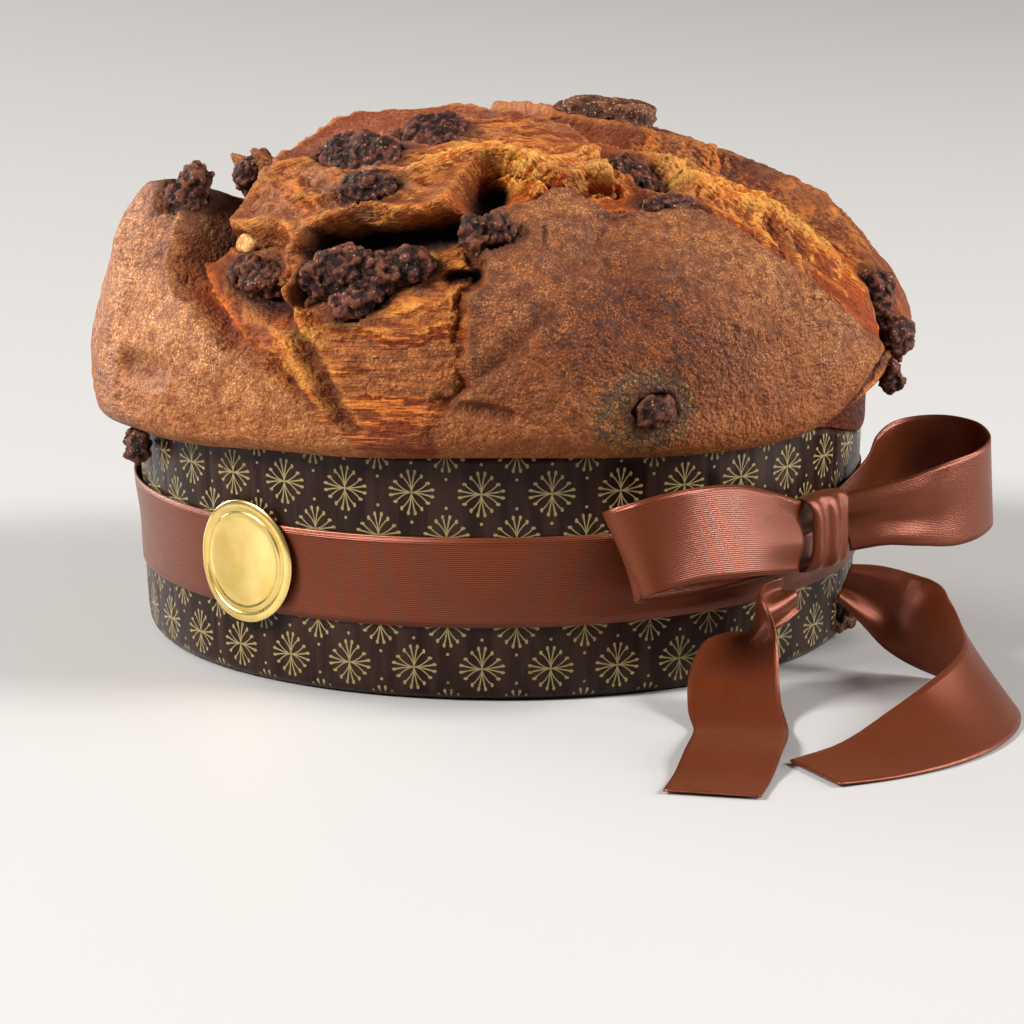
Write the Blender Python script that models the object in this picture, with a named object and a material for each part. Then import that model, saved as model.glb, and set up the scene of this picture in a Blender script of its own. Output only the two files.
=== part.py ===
# Chocolate panettone: a domed loaf in its paper case, with lumps of chocolate in the crown,
# a satin ribbon tied in a bow and a round foil seal. It stands on the case's flat underside.
# Metres and degrees. Azimuth 0 is the front, at -Y, and grows towards the right, at +X.
import math

import bmesh
import bpy
import numpy as np
from mathutils import Matrix, Vector, noise

GAP = 0.0003

# Paper case
CASE_FOOT = 0.102
CASE_RIM = 0.105
CASE_HEIGHT = 0.0685
CASE_WALL = 0.0012
CASE_CORNER = 0.004
CASE_STEPS = 60
RIM_DIP = 0.0085
RIM_DIP_AZIMUTH = 78.0
RIM_DIP_REACH = 17.0

# Crown
CROWN_TOP = 0.149
LIP_FLATNESS = 0.80
CHART_RADIUS = 0.110
FRONT_COLUMNS = 64
FRONT_REACH = 82.0
BACK_COLUMNS = 26
CROWN_RINGS = 30
TORN_DEPTH = 0.0065
LIP_FADE = 7.0
TORN_FROM = -6.0
TORN_FULL = 18.0
RING_SPACING = 1.12
SETTLE_REACH = 0.0024
SETTLE_PROBE = 0.2
SETTLE_LIMIT = 1.1
SHARP_ANGLE = 50.0
SLOT_RADIUS = CASE_RIM + 2 * GAP

# Each side of the crown: azimuth, widest radius, height of the widest place, squareness above it,
# height of the lower lip, squareness below.
CROWN_SIDES = (
    (-180, 0.1130, 0.0800, 1.75, 0.0650, 4.0),
    (-135, 0.1150, 0.0790, 1.75, 0.0640, 4.5),
    (-90, 0.1175, 0.0755, 2.20, 0.0600, 5.5),
    (-60, 0.1165, 0.0770, 2.15, 0.0635, 5.0),
    (-30, 0.1145, 0.0780, 2.25, 0.0660, 4.5),
    (0, 0.1135, 0.0820, 2.30, 0.0670, 4.5),
    (40, 0.1125, 0.0840, 2.10, 0.0635, 4.5),
    (75, 0.1170, 0.0870, 1.75, 0.0640, 2.4),
    (90, 0.1185, 0.0880, 1.70, 0.0640, 2.2),
    (135, 0.1150, 0.0850, 1.65, 0.0640, 3.5),
    (180, 0.1130, 0.0800, 1.75, 0.0650, 4.0),
)

# Sheets of smooth crust that stand over the torn dough: outline as (azimuth, elevation), and the
# width of the rounded edge.
SKINS = {
    "left": (
        0.0050,
        ((-76, 43), (-66, 33), (-61, 27), (-59, 22.5), (-57, 19), (-53, 16), (-45.5, 12),
         (-37.5, 8), (-29.5, 4), (-23, -1), (-18, -9), (-20, -24), (-85, -26), (-150, -24),
         (-152, 10), (-140, 22), (-115, 30), (-97, 38), (-84, 43)),
    ),
    "right": (
        0.0050,
        ((-8, 26.5), (-4.8, 28), (-2.3, 31.3), (2.3, 33.2), (6.6, 34), (10.2, 36.3), (16.7, 36.5),
         (19, 32), (27.5, 30.2), (40.9, 28.9), (45, 24.6), (49.3, 19.4), (53, 15.2), (57.3, 10.3),
         (62.2, 5), (70, 0), (65, -4), (60, -8), (57, -24), (-10, -24), (-10, -3), (-8, 0.4),
         (-4.5, 3.5), (-5.6, 7), (-5.7, 16.3), (-3.2, 18.2), (-3.4, 21), (-5.4, 24.3)),
    ),
    "dome": (
        0.0050,
        ((-57, 29), (-54, 24.7), (-49, 23.6), (-43.4, 25.4), (-39, 25), (-35.5, 21.4), (-31, 16),
         (-29.5, 17), (-32, 22), (-31.5, 27.2), (-27, 30.2), (-18.4, 29.4), (-10.8, 30.7),
         (-6.8, 32), (-6.8, 35.7), (-5.1, 41), (-2.4, 44.2), (2.8, 44.5), (7.2, 40.7),
         (14.7, 36.8), (22.9, 37.6), (28, 36), (34, 48), (40, 62), (20, 80), (-150, 76),
         (-130, 62), (-90, 55), (-72, 44)),
    ),
    "back": (
        0.0070,
        ((64, 77), (68, 62), (72, 51), (74, 42), (81, 33), (80, 25), (76, 17), (72, 10), (77, 2),
         (80, -10), (84, -24), (120, -26), (160, -26), (195, -24), (196, 5), (186, 30), (178, 52),
         (200, 74)),
    ),
}

# Soft swellings of a sheet: sheet, azimuth, elevation, rise, reach across, reach up.
SWELLINGS = (
    ("left", -74, 26, 0.0120, 0.024, 0.020),
    ("left", -75, 31, 0.0025, 0.010, 0.009),
    ("right", 33, 14, 0.0020, 0.030, 0.024),
    ("back", 84, 24, 0.0030, 0.016, 0.018),
    ("back", 130, 28, 0.0030, 0.035, 0.025),
)

# Hollows along a line of (azimuth, elevation): depth, half width, upward push under the lip above.
HOLLOWS = (
    (0.0150, 0.0085, 0.0060, ((-32, 20), (-31, 24), (-26, 26), (-20, 26), (-13, 26.5), (-7, 28))),
    (0.0130, 0.0090, 0.0030, ((-3, 35), (-1.5, 39))),
    (0.0110, 0.0080, 0.0000, ((48, 45), (44, 39))),
    (0.0110, 0.0060, 0.0000, ((-72, 34), (-65, 31.5), (-60, 28), (-57, 23))),
    (0.0210, 0.0130, 0.0000, ((-76, 35), (-86, 32), (-96, 30), (-108, 28), (-120, 25))),
    (0.0060, 0.0060, 0.0030, ((-45, 17.5), (-39, 15.5), (-34, 15))),
    (0.0050, 0.0030, 0.0010, ((-7.5, 19.5), (-4, 19.5))),
    (0.0055, 0.0045, 0.0000, ((72, 4), (68, -2), (63, -6), (60, -10))),
    (0.0035, 0.0055, 0.0000, ((20.2, 26), (16.5, 21.5), (18.5, 17), (19.5, 12))),
    (0.0016, 0.0030, 0.0000, ((6.5, 14), (5, 11), (0, 6.5), (-5, 3.5))),
    (0.0020, 0.0030, 0.0010, ((-8, 1.4), (-5.8, 0.3), (1.2, -0.8))),
    (0.0022, 0.0035, 0.0000, ((-38.2, 14.2), (-31.5, 11.9), (-25.3, 5.3), (-20.3, -2.7))),
    (0.0025, 0.0060, 0.0000, ((-64, 3.5), (-54, 3.5))),
    (0.0100, 0.0080, 0.0030, ((-163, 24), (-171, 30), (-176, 38))),
)

# Lumps of chocolate, each node one or more lumps: azimuth, elevation, half sizes across, up and
# out, turn on the surface, and how far the middle stands out of the crust.
LUMPS = {
    "chocolate_horn": ((-67.0, 29.6, 0.0056, 0.0088, 0.0056, 12, 0.0006),),
    "chocolate_ridge": ((-86.5, 37.8, 0.0082, 0.0062, 0.0045, -10, -0.0048),),
    "chocolate_left": (
        (-46.0, 18.9, 0.0062, 0.0044, 0.0046, 0, 0.0014),
        (-41.6, 17.8, 0.0060, 0.0052, 0.0046, 10, 0.0016),
    ),
    "chocolate_large": (
        (-26.4, 20.8, 0.0118, 0.0068, 0.0060, 16, 0.0022),
        (-17.0, 21.4, 0.0110, 0.0050, 0.0046, 8, 0.0018),
        (-21.4, 17.2, 0.0096, 0.0052, 0.0050, 38, 0.0016),
    ),
    "chocolate_dome": ((-27.8, 36.5, 0.0082, 0.0062, 0.0042, 10, 0.0004),),
    "chocolate_flat_left": ((-41.5, 47.6, 0.0142, 0.0082, 0.0034, 0, -0.0010),),
    "chocolate_flat_right": ((-28.3, 60.4, 0.0088, 0.0092, 0.0036, 20, -0.0008),),
    "chocolate_tongue": ((-2.4, 26.0, 0.0074, 0.0050, 0.0042, 10, -0.0004),),
    "chocolate_hole": ((48.0, 42.4, 0.0074, 0.0092, 0.0052, 20, 0.0026),),
    "chocolate_edge": ((39.5, 31.4, 0.0088, 0.0030, 0.0028, -4, 0.0002),),
    "chocolate_stain": ((21.5, -1.0, 0.0064, 0.0044, 0.0030, 8, -0.0006),),
    "chocolate_right": (
        (73.6, 6.4, 0.0058, 0.0088, 0.0050, 15, 0.0002),
        (73.2, 0.4, 0.0052, 0.0066, 0.0048, 15, -0.0002),
    ),
    "chocolate_crack": ((71.5, -4.6, 0.0034, 0.0052, 0.0034, 20, 0.0016),),
    "chocolate_back": ((-168.0, 29.0, 0.0085, 0.0070, 0.0060, 30, 0.0050),),
    "chocolate_back_top": ((150.0, 52.0, 0.0085, 0.0065, 0.0045, -25, 0.0004),),
    "nut_piece": ((-49.2, 24.3, 0.0042, 0.0030, 0.0024, 0, 0.0002),),
}

# Lumps placed by azimuth, radius and height: one under the lip, one out through the paper.
LOW_LUMPS = {
    "chocolate_lip": (-68.5, 0.1094, 0.0585, 0.0066, 0.0050, 0.0030, 10),
    "chocolate_burst": (72.0, 0.1030, 0.0085, 0.0048, 0.0058, 0.0034, -15),
}
LUMP_ROUGHNESS = 0.30
LUMP_GRAIN = 2.1
LUMP_BOXY = 0.30

# Broken block that lies on the top: place, half sizes, lean to the right and turn, in degrees.
BLOCK_PLACE = (0.0310, 0.0060, 0.1446)
BLOCK_HALF = (0.0128, 0.0085, 0.0058)
BLOCK_LEAN = 5.0
BLOCK_TURN = -22.0
BLOCK_ROUGHNESS = 0.10
BLOCK_ROUNDING = 0.05

# Ribbon
RIBBON_WIDTH = 0.025
RIBBON_THICK = 0.0006
BAND_BASE = 0.0215
SEAL_RADIUS = 0.0172
SEAL_THICK = 0.0008
SEAL_RIM = 0.0006
SEAL_RIM_INSIDE = 0.80
SEAL_RIM_OUTSIDE = 0.98
SEAL_STEPS = 40
SEAL_AZIMUTH = -41.3
SEAL_HEIGHT = 0.0342
KNOT_AZIMUTH = 51.6
KNOT_RADIUS = 0.1125
KNOT_HEIGHT = 0.0405
KNOT_HALF = (0.0095, 0.0050, 0.0110)
KNOT_SQUARENESS = 0.62
KNOT_WAIST = 0.12

# Ribbon routes: middle of the strip, the direction across it, and its width there, which is less
# where the knot gathers it. The tails fall to the surface and lie on it.
ROUTES = {
    "bow_loop_left": (
        ((0.0826, -0.0786, 0.0405), (0.00, 0.20, 0.98), 0.019),
        ((0.0720, -0.0930, 0.0450), (0.05, 0.38, 0.92), 0.023),
        ((0.0630, -0.1040, 0.0478), (0.05, 0.34, 0.94), 0.025),
        ((0.0510, -0.1160, 0.0492), (0.00, 0.22, 0.97), 0.025),
        ((0.0390, -0.1210, 0.0472), (-0.20, 0.20, 0.96), 0.025),
        ((0.0325, -0.1165, 0.0440), (-0.38, 0.16, 0.91), 0.025),
        ((0.0370, -0.1090, 0.0420), (-0.25, 0.08, 0.96), 0.025),
        ((0.0520, -0.0985, 0.0410), (-0.10, 0.04, 0.99), 0.024),
        ((0.0660, -0.0890, 0.0405), (0.00, 0.00, 1.00), 0.021),
        ((0.0788, -0.0762, 0.0400), (0.00, 0.00, 1.00), 0.018),
    ),
    "bow_loop_right": (
        ((0.0956, -0.0622, 0.0410), (0.00, 0.10, 0.99), 0.016),
        ((0.1063, -0.0600, 0.0427), (0.00, 0.12, 0.99), 0.017),
        ((0.1163, -0.0570, 0.0433), (0.03, 0.12, 0.99), 0.020),
        ((0.1265, -0.0515, 0.0440), (0.05, 0.10, 0.99), 0.024),
        ((0.1350, -0.0435, 0.0453), (0.02, 0.06, 1.00), 0.025),
        ((0.1393, -0.0330, 0.0470), (-0.05, 0.02, 1.00), 0.025),
        ((0.1365, -0.0225, 0.0490), (-0.10, 0.02, 0.99), 0.025),
        ((0.1270, -0.0165, 0.0500), (-0.08, 0.00, 0.99), 0.025),
        ((0.1160, -0.0175, 0.0490), (-0.06, 0.00, 0.99), 0.025),
        ((0.1085, -0.0255, 0.0465), (-0.04, 0.00, 0.99), 0.024),
        ((0.1030, -0.0390, 0.0440), (0.00, 0.00, 1.00), 0.020),
        ((0.0924, -0.0590, 0.0410), (0.00, 0.00, 1.00), 0.015),
    ),
    "ribbon_tail_left": (
        ((0.0800, -0.0800, 0.0250), (-0.20, 0.62, 0.76), 0.010),
        ((0.0720, -0.0900, 0.0222), (0.40, 0.55, 0.70), 0.015),
        ((0.0660, -0.0990, 0.0170), (0.75, 0.40, 0.50), 0.020),
        ((0.0630, -0.1090, 0.0100), (0.95, 0.15, 0.20), 0.024),
        ((0.0625, -0.1200, 0.0038), (1.00, 0.05, 0.05), 0.025),
        ((0.0635, -0.1320, 0.0010), (1.00, 0.00, 0.00), 0.025),
        ((0.0625, -0.1480, 0.0028), (1.00, -0.08, 0.00), 0.025),
        ((0.0600, -0.1640, 0.0034), (0.99, -0.14, 0.00), 0.025),
        ((0.0565, -0.1800, 0.0012), (0.98, -0.20, 0.00), 0.025),
        ((0.0530, -0.1950, 0.0009), (0.97, -0.24, 0.00), 0.025),
    ),
    "ribbon_tail_right": (
        ((0.0955, -0.0645, 0.0245), (0.75, 0.35, 0.55), 0.012),
        ((0.1040, -0.0665, 0.0212), (0.55, 0.35, 0.75), 0.018),
        ((0.1130, -0.0700, 0.0165), (0.10, 0.35, 0.93), 0.023),
        ((0.1220, -0.0800, 0.0128), (-0.25, 0.25, 0.93), 0.025),
        ((0.1290, -0.0950, 0.0112), (-0.48, 0.12, 0.87), 0.025),
        ((0.1315, -0.1120, 0.0104), (-0.60, -0.02, 0.80), 0.025),
        ((0.1290, -0.1290, 0.0096), (-0.62, 0.22, 0.75), 0.025),
        ((0.1210, -0.1450, 0.0080), (-0.58, 0.50, 0.62), 0.025),
        ((0.1090, -0.1580, 0.0052), (-0.52, 0.74, 0.40), 0.025),
        ((0.0950, -0.1680, 0.0022), (-0.46, 0.87, 0.14), 0.025),
        ((0.0800, -0.1755, 0.0009), (-0.42, 0.91, 0.00), 0.025),
    ),
}
ROUTE_STEPS = 30

# Base colour, roughness and metallic value
FINISHES = {
    "crust": ((0.38, 0.16, 0.055), 0.55, 0.0),
    "chocolate": ((0.045, 0.022, 0.017), 0.60, 0.0),
    "nut": ((0.75, 0.50, 0.22), 0.55, 0.0),
    "paper": ((0.045, 0.027, 0.030), 0.35, 0.0),
    "satin": ((0.16, 0.050, 0.026), 0.38, 0.0),
    "foil": ((0.85, 0.62, 0.20), 0.28, 1.0),
}


def clear_scene():
    for old in list(bpy.data.objects):
        bpy.data.objects.remove(old, do_unlink=True)


def material(name):
    """The finish of that name, made once."""
    made = bpy.data.materials.get(name)
    if made:
        return made
    made = bpy.data.materials.new(name)
    made.use_nodes = True
    shader = made.node_tree.nodes["Principled BSDF"]
    colour, roughness, metallic = FINISHES[name]
    shader.inputs["Base Color"].default_value = (*colour, 1.0)
    shader.inputs["Roughness"].default_value = roughness
    shader.inputs["Metallic"].default_value = metallic
    made.diffuse_color = (*colour, 1.0)
    return made


def add_object(name, points, faces, finish):
    mesh = bpy.data.meshes.new(name)
    mesh.from_pydata([tuple(p) for p in points], [], [tuple(f) for f in faces])
    body = bmesh.new()
    body.from_mesh(mesh)
    bmesh.ops.recalc_face_normals(body, faces=body.faces)
    if body.calc_volume(signed=True) < 0:
        bmesh.ops.reverse_faces(body, faces=body.faces)
    body.to_mesh(mesh)
    body.free()
    mesh.shade_smooth()
    mesh.set_sharp_from_angle(angle=math.radians(SHARP_ANGLE))
    node = bpy.data.objects.new(name, mesh)
    bpy.context.scene.collection.objects.link(node)
    mesh.materials.append(material(finish))
    return node


def smooth(x):
    x = np.clip(x, 0.0, 1.0)
    return x * x * (3 - 2 * x)


def on_cylinder(azimuth, radius, height):
    turn = math.radians(azimuth)
    return Vector((radius * math.sin(turn), -radius * math.cos(turn), height))


def crown_side(azimuth):
    """Widest radius, its height, squareness, lip height and lower squareness at each azimuth."""
    table = np.array(CROWN_SIDES, float)
    turn = (np.asarray(azimuth, float) + 180) % 360 - 180
    before = np.clip(np.searchsorted(table[:, 0], turn, side="right") - 1, 0, len(table) - 2)
    share = smooth((turn - table[before, 0]) / (table[before + 1, 0] - table[before, 0]))
    return np.moveaxis(
        table[before, 1:] * (1 - share)[..., None] + table[before + 1, 1:] * share[..., None], -1, 0
    )


def direction(azimuth, elevation):
    turn, rise = np.radians(azimuth), np.radians(elevation)
    return np.stack(
        [np.cos(rise) * np.sin(turn), -np.cos(rise) * np.cos(turn), np.sin(rise)], -1
    )


def flattened(where, centre):
    """Places as metres across a plane that touches the crown at the centre."""
    upright = np.array([0.0, 0.0, 1.0])
    across = np.cross(centre, upright)
    across = across / np.linalg.norm(across)
    up = np.cross(across, centre)
    angle = np.arccos(np.clip(where @ centre, -1.0, 1.0))
    flat = np.stack([where @ across, where @ up], -1)
    length = np.maximum(np.linalg.norm(flat, axis=-1), 1e-9)
    return flat / length[..., None] * (angle * CHART_RADIUS)[..., None]


def line_distance(where, line):
    """Distance to a line over the crown."""
    corners = direction(*np.array(line, float).T)
    centre = corners.mean(axis=0)
    centre = centre / np.linalg.norm(centre)
    flat, points = flattened(where, centre), flattened(corners, centre)
    nearest = np.full(flat.shape[:-1], np.inf)
    for start, end in zip(points[:-1], points[1:]):
        along = end - start
        share = np.clip(((flat - start) @ along) / (along @ along), 0.0, 1.0)
        offset = flat - start - share[..., None] * along
        nearest = np.minimum(nearest, np.linalg.norm(offset, axis=-1))
    return nearest


def depth_inside(where, outline):
    """Distance inside a closed outline, negative outside it."""
    corners = direction(*np.array(outline, float).T)
    centre = corners.mean(axis=0)
    centre = centre / np.linalg.norm(centre)
    flat, points = flattened(where, centre), flattened(corners, centre)
    nearest = np.full(flat.shape[:-1], np.inf)
    inside = np.zeros(flat.shape[:-1], bool)
    for start, end in zip(points, np.roll(points, -1, axis=0)):
        along = end - start
        share = np.clip(((flat - start) @ along) / (along @ along), 0.0, 1.0)
        nearest = np.minimum(nearest, np.linalg.norm(flat - start - share[..., None] * along, axis=-1))
        crosses = (start[1] > flat[..., 1]) != (end[1] > flat[..., 1])
        height = np.where(end[1] == start[1], 1.0, end[1] - start[1])
        inside ^= crosses & (
            flat[..., 0] < start[0] + (flat[..., 1] - start[1]) * along[0] / height
        )
    return np.where(inside, nearest, -nearest)


def relief(azimuth, elevation):
    """How far the crown's surface moves outwards and upwards at each place."""
    where = direction(azimuth, elevation)
    skin = np.zeros(where.shape[:-1])
    out = np.zeros(where.shape[:-1])
    for name, (edge, outline) in SKINS.items():
        cover = smooth(depth_inside(where, outline) / edge)
        skin = np.maximum(skin, cover)
        for sheet, turn, rise, height, across, up in SWELLINGS:
            if sheet == name:
                flat = flattened(where, direction(turn, rise))
                bell = np.exp(-((flat[..., 0] / across) ** 2) - (flat[..., 1] / up) ** 2)
                out = out + height * bell * cover
    torn = smooth((elevation - TORN_FROM) / (TORN_FULL - TORN_FROM))
    out = out - TORN_DEPTH * torn * (1 - skin)
    lift = np.zeros(where.shape[:-1])
    for depth, half_width, push, line in HOLLOWS:
        far = line_distance(where, line)
        bowl = np.clip(1 - (far / half_width) ** 2, 0.0, 1.0) ** 1.5
        out = out - depth * bowl
        lift = lift + push * bowl
    return out, lift


def lip_elevation(azimuth):
    """Where the crown's underside comes near the case's wall."""
    widest, height, _, lip, power = crown_side(azimuth)
    radius = SLOT_RADIUS + 5 * GAP
    drop = (height - lip) / LIP_FLATNESS * (1 - (radius / widest) ** power) ** (1 / power)
    return -np.degrees(np.arctan2(drop, radius))


def crown_point(azimuth, elevation, raised=0.0):
    """Place on the crown, with its relief, raised along the outward direction."""
    azimuth, elevation = np.broadcast_arrays(
        np.asarray(azimuth, float), np.asarray(elevation, float)
    )
    widest, height, square, lip, square_below = crown_side(azimuth)
    cosine, sine = np.cos(np.radians(elevation)), np.sin(np.radians(elevation))
    reach = np.where(sine >= 0, CROWN_TOP - height, (height - lip) / LIP_FLATNESS)
    power = np.where(sine >= 0, square, square_below)
    radius = ((np.abs(cosine) / widest) ** power + (np.abs(sine) / reach) ** power) ** (-1 / power)
    out, lift = relief(azimuth, elevation)
    clear_of_lip = smooth((elevation - lip_elevation(azimuth)) / LIP_FADE)
    radius = radius + out * clear_of_lip + raised
    middle = np.stack([np.zeros_like(height), np.zeros_like(height), height], -1)
    upward = direction(azimuth, elevation + 90.0)
    return middle + radius[..., None] * direction(azimuth, elevation) + lift[..., None] * upward


def settled(azimuth, elevation):
    """Slides grid places that lie near a sheet's edge onto it, at its foot and at its shoulder."""
    turn, rise = np.zeros_like(azimuth), np.zeros_like(elevation)
    for edge, outline in SKINS.values():
        here = depth_inside(direction(azimuth, elevation), outline)
        beside = depth_inside(direction(azimuth + SETTLE_PROBE, elevation), outline)
        above = depth_inside(direction(azimuth, elevation + SETTLE_PROBE), outline)
        narrow = np.maximum(np.cos(np.radians(elevation)), 0.1)
        across, up = (beside - here) / (SETTLE_PROBE * narrow), (above - here) / SETTLE_PROBE
        goal = np.where(here < edge / 2, 0.0, edge)
        near = (np.abs(here - goal) < SETTLE_REACH) & (elevation > 0) & (turn == 0) & (rise == 0)
        step = np.where(near, (goal - here) / np.maximum(across**2 + up**2, 1e-7), 0.0)
        turn = turn + np.clip(step * across / narrow, -SETTLE_LIMIT, SETTLE_LIMIT)
        rise = rise + np.clip(step * up, -SETTLE_LIMIT, SETTLE_LIMIT)
    return azimuth + turn, elevation + rise


def rim_height(azimuth):
    turn = (np.asarray(azimuth, float) - RIM_DIP_AZIMUTH + 180) % 360 - 180
    return CASE_HEIGHT - RIM_DIP * np.exp(-((turn / RIM_DIP_REACH) ** 2))


def ring_points(azimuths, radius, height):
    turn = np.radians(azimuths)
    return np.stack(
        [radius * np.sin(turn), -radius * np.cos(turn), np.broadcast_to(height, turn.shape)], -1
    )


def lathe_faces(rings, count):
    """Faces of a closed skin: a pole, rings of count points, and a pole."""
    faces = [(0, 1 + i, 1 + (i + 1) % count) for i in range(count)]
    for ring in range(rings - 1):
        low, high = 1 + ring * count, 1 + (ring + 1) * count
        for i in range(count):
            j = (i + 1) % count
            faces.append((low + i, high + i, high + j, low + j))
    last = 1 + (rings - 1) * count
    faces += [(last + i, last + count, last + (i + 1) % count) for i in range(count)]
    return faces


def case_radius(height):
    return CASE_FOOT + (CASE_RIM - CASE_FOOT) * np.asarray(height) / CASE_HEIGHT


def build_case():
    azimuths = np.arange(CASE_STEPS) * 360 / CASE_STEPS
    rim = rim_height(azimuths)
    rings = [ring_points(azimuths, case_radius(0) - CASE_CORNER, 0.0)]
    for bend in (30, 60, 90):
        turn = math.radians(bend)
        radius = case_radius(0) - CASE_CORNER * (1 - math.sin(turn))
        rings.append(ring_points(azimuths, radius, CASE_CORNER * (1 - math.cos(turn))))
    rings.append(ring_points(azimuths, case_radius(rim / 2), rim / 2))
    rings.append(ring_points(azimuths, case_radius(rim), rim))
    rings.append(ring_points(azimuths, case_radius(rim) - CASE_WALL, rim))
    rings.append(ring_points(azimuths, case_radius(CASE_CORNER) - CASE_WALL, CASE_CORNER))
    rings.append(ring_points(azimuths, case_radius(0) - CASE_CORNER, CASE_WALL))
    points = [(0, 0, 0), *np.concatenate(rings), (0, 0, CASE_WALL)]
    return add_object("paper_case", points, lathe_faces(len(rings), CASE_STEPS), "paper")


def crown_azimuths():
    front = np.linspace(-FRONT_REACH, FRONT_REACH, FRONT_COLUMNS)
    back = np.linspace(FRONT_REACH, 360 - FRONT_REACH, BACK_COLUMNS + 2)[1:-1]
    return np.concatenate([front, back])


def build_bread():
    """The loaf: a body that fills the case, and the crown that rises and hangs over its rim."""
    azimuths = crown_azimuths()
    inner = CASE_WALL + 1.8 * GAP
    over_rim = rim_height(azimuths) + GAP
    start = lip_elevation(azimuths)
    first = crown_point(azimuths, start)
    rings = [
        ring_points(azimuths, CASE_FOOT - CASE_CORNER - inner, CASE_WALL + GAP),
        ring_points(azimuths, case_radius(CASE_CORNER) - inner, CASE_CORNER + GAP),
        ring_points(azimuths, case_radius(over_rim) - inner, over_rim),
        ring_points(azimuths, SLOT_RADIUS, over_rim),
        ring_points(azimuths, SLOT_RADIUS + GAP, first[:, 2] + 2 * GAP),
        first,
    ]
    for step in range(1, CROWN_RINGS):
        elevation = start + (90 - start) * (step / CROWN_RINGS) ** RING_SPACING
        rings.append(crown_point(*settled(azimuths, elevation)))
    points = [(0, 0, CASE_WALL + GAP), *np.concatenate(rings), crown_point(0.0, 89.9)]
    return add_object("bread", points, lathe_faces(len(rings), len(azimuths)), "crust")


def lump_frame(place, outward, turn):
    """A frame with Z outwards, X across and Y up, turned about Z."""
    across = Vector((0, 0, 1)).cross(outward).normalized()
    up = outward.cross(across)
    frame = Matrix((across, up, outward)).transposed().to_4x4()
    return Matrix.Translation(place) @ frame @ Matrix.Rotation(math.radians(turn), 4, "Z")


def lump_mesh(frame, half, seed, grow=0.0):
    """A rough lump: a ball of flat facets, its points pushed in and out by noise."""
    ball = bmesh.new()
    bmesh.ops.create_icosphere(ball, subdivisions=2, radius=1.0)
    spread = Vector((seed * 3.7, seed * 1.9, seed * 0.7))
    for point in ball.verts:
        rough = 1 + LUMP_ROUGHNESS * noise.noise(point.co * LUMP_GRAIN + spread)
        corner = max(abs(c) for c in point.co)
        boxy = 1 - LUMP_BOXY + LUMP_BOXY / corner
        grown = [h * rough * boxy + grow for h in half]
        point.co = frame @ Vector(c * g for c, g in zip(point.co, grown))
    mesh = bpy.data.meshes.new("lump")
    ball.to_mesh(mesh)
    ball.free()
    return mesh


def crown_frame(azimuth, elevation, turn, proud):
    place = Vector(crown_point(azimuth, elevation, proud))
    outward = Vector(direction(azimuth, elevation))
    return lump_frame(place, outward, turn)


def block_mesh(grow=0.0):
    """The broken block: a box with rounded, uneven edges."""
    lean = Matrix.Rotation(math.radians(BLOCK_LEAN), 4, "Y")
    frame = Matrix.Translation(BLOCK_PLACE) @ lean @ Matrix.Rotation(math.radians(BLOCK_TURN), 4, "Z")
    box = bmesh.new()
    bmesh.ops.create_cube(box, size=2.0)
    bmesh.ops.subdivide_edges(box, edges=box.edges[:], cuts=2, use_grid_fill=True)
    for point in box.verts:
        outer_faces = sum(abs(c) > 0.9 for c in point.co)
        rounded = 1 - BLOCK_ROUNDING * (outer_faces - 1)
        uneven = BLOCK_ROUGHNESS * noise.noise(point.co * LUMP_GRAIN)
        grown = [h * (rounded + uneven) + grow for h in BLOCK_HALF]
        point.co = frame @ Vector(c * g for c, g in zip(point.co, grown))
    mesh = bpy.data.meshes.new("block")
    box.to_mesh(mesh)
    box.free()
    return mesh


def low_frame(azimuth, radius, height, turn):
    outward = on_cylinder(azimuth, 1.0, 0.0)
    return lump_frame(on_cylinder(azimuth, radius, height), outward, turn)


def lump_meshes(grow=0.0):
    """Every lump node's meshes, each grown by the same amount."""
    meshes = {}
    for seed, (name, lumps) in enumerate(LUMPS.items()):
        meshes[name] = []
        for index, (azimuth, elevation, across, up, out, turn, proud) in enumerate(lumps):
            frame = crown_frame(azimuth, elevation, turn, proud)
            meshes[name].append(lump_mesh(frame, (across, up, out), seed + 20 * index, grow))
    for seed, (name, (azimuth, radius, height, *half, turn)) in enumerate(LOW_LUMPS.items()):
        meshes[name] = [lump_mesh(low_frame(azimuth, radius, height, turn), half, 60 + seed, grow)]
    meshes["chocolate_block"] = [block_mesh(grow)]
    return meshes


def boolean(target, meshes, operation):
    """Applies one Boolean with a group of meshes, then keeps the largest body."""
    group = bpy.data.collections.new("cutters")
    bpy.context.scene.collection.children.link(group)
    for mesh in meshes:
        cutter = bpy.data.objects.new("cutter", mesh)
        cutter.hide_render = True
        cutter.display_type = "WIRE"
        group.objects.link(cutter)
    change = target.modifiers.new(operation.lower(), "BOOLEAN")
    change.operation = operation
    change.operand_type = "COLLECTION"
    change.collection = group
    change.solver = "EXACT"
    bpy.context.view_layer.update()
    graph = bpy.context.evaluated_depsgraph_get()
    result = bpy.data.meshes.new_from_object(target.evaluated_get(graph), depsgraph=graph)
    target.modifiers.remove(change)
    target.data = result
    for cutter in list(group.objects):
        bpy.data.objects.remove(cutter, do_unlink=True)
    bpy.data.collections.remove(group)
    keep_largest(result)


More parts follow.
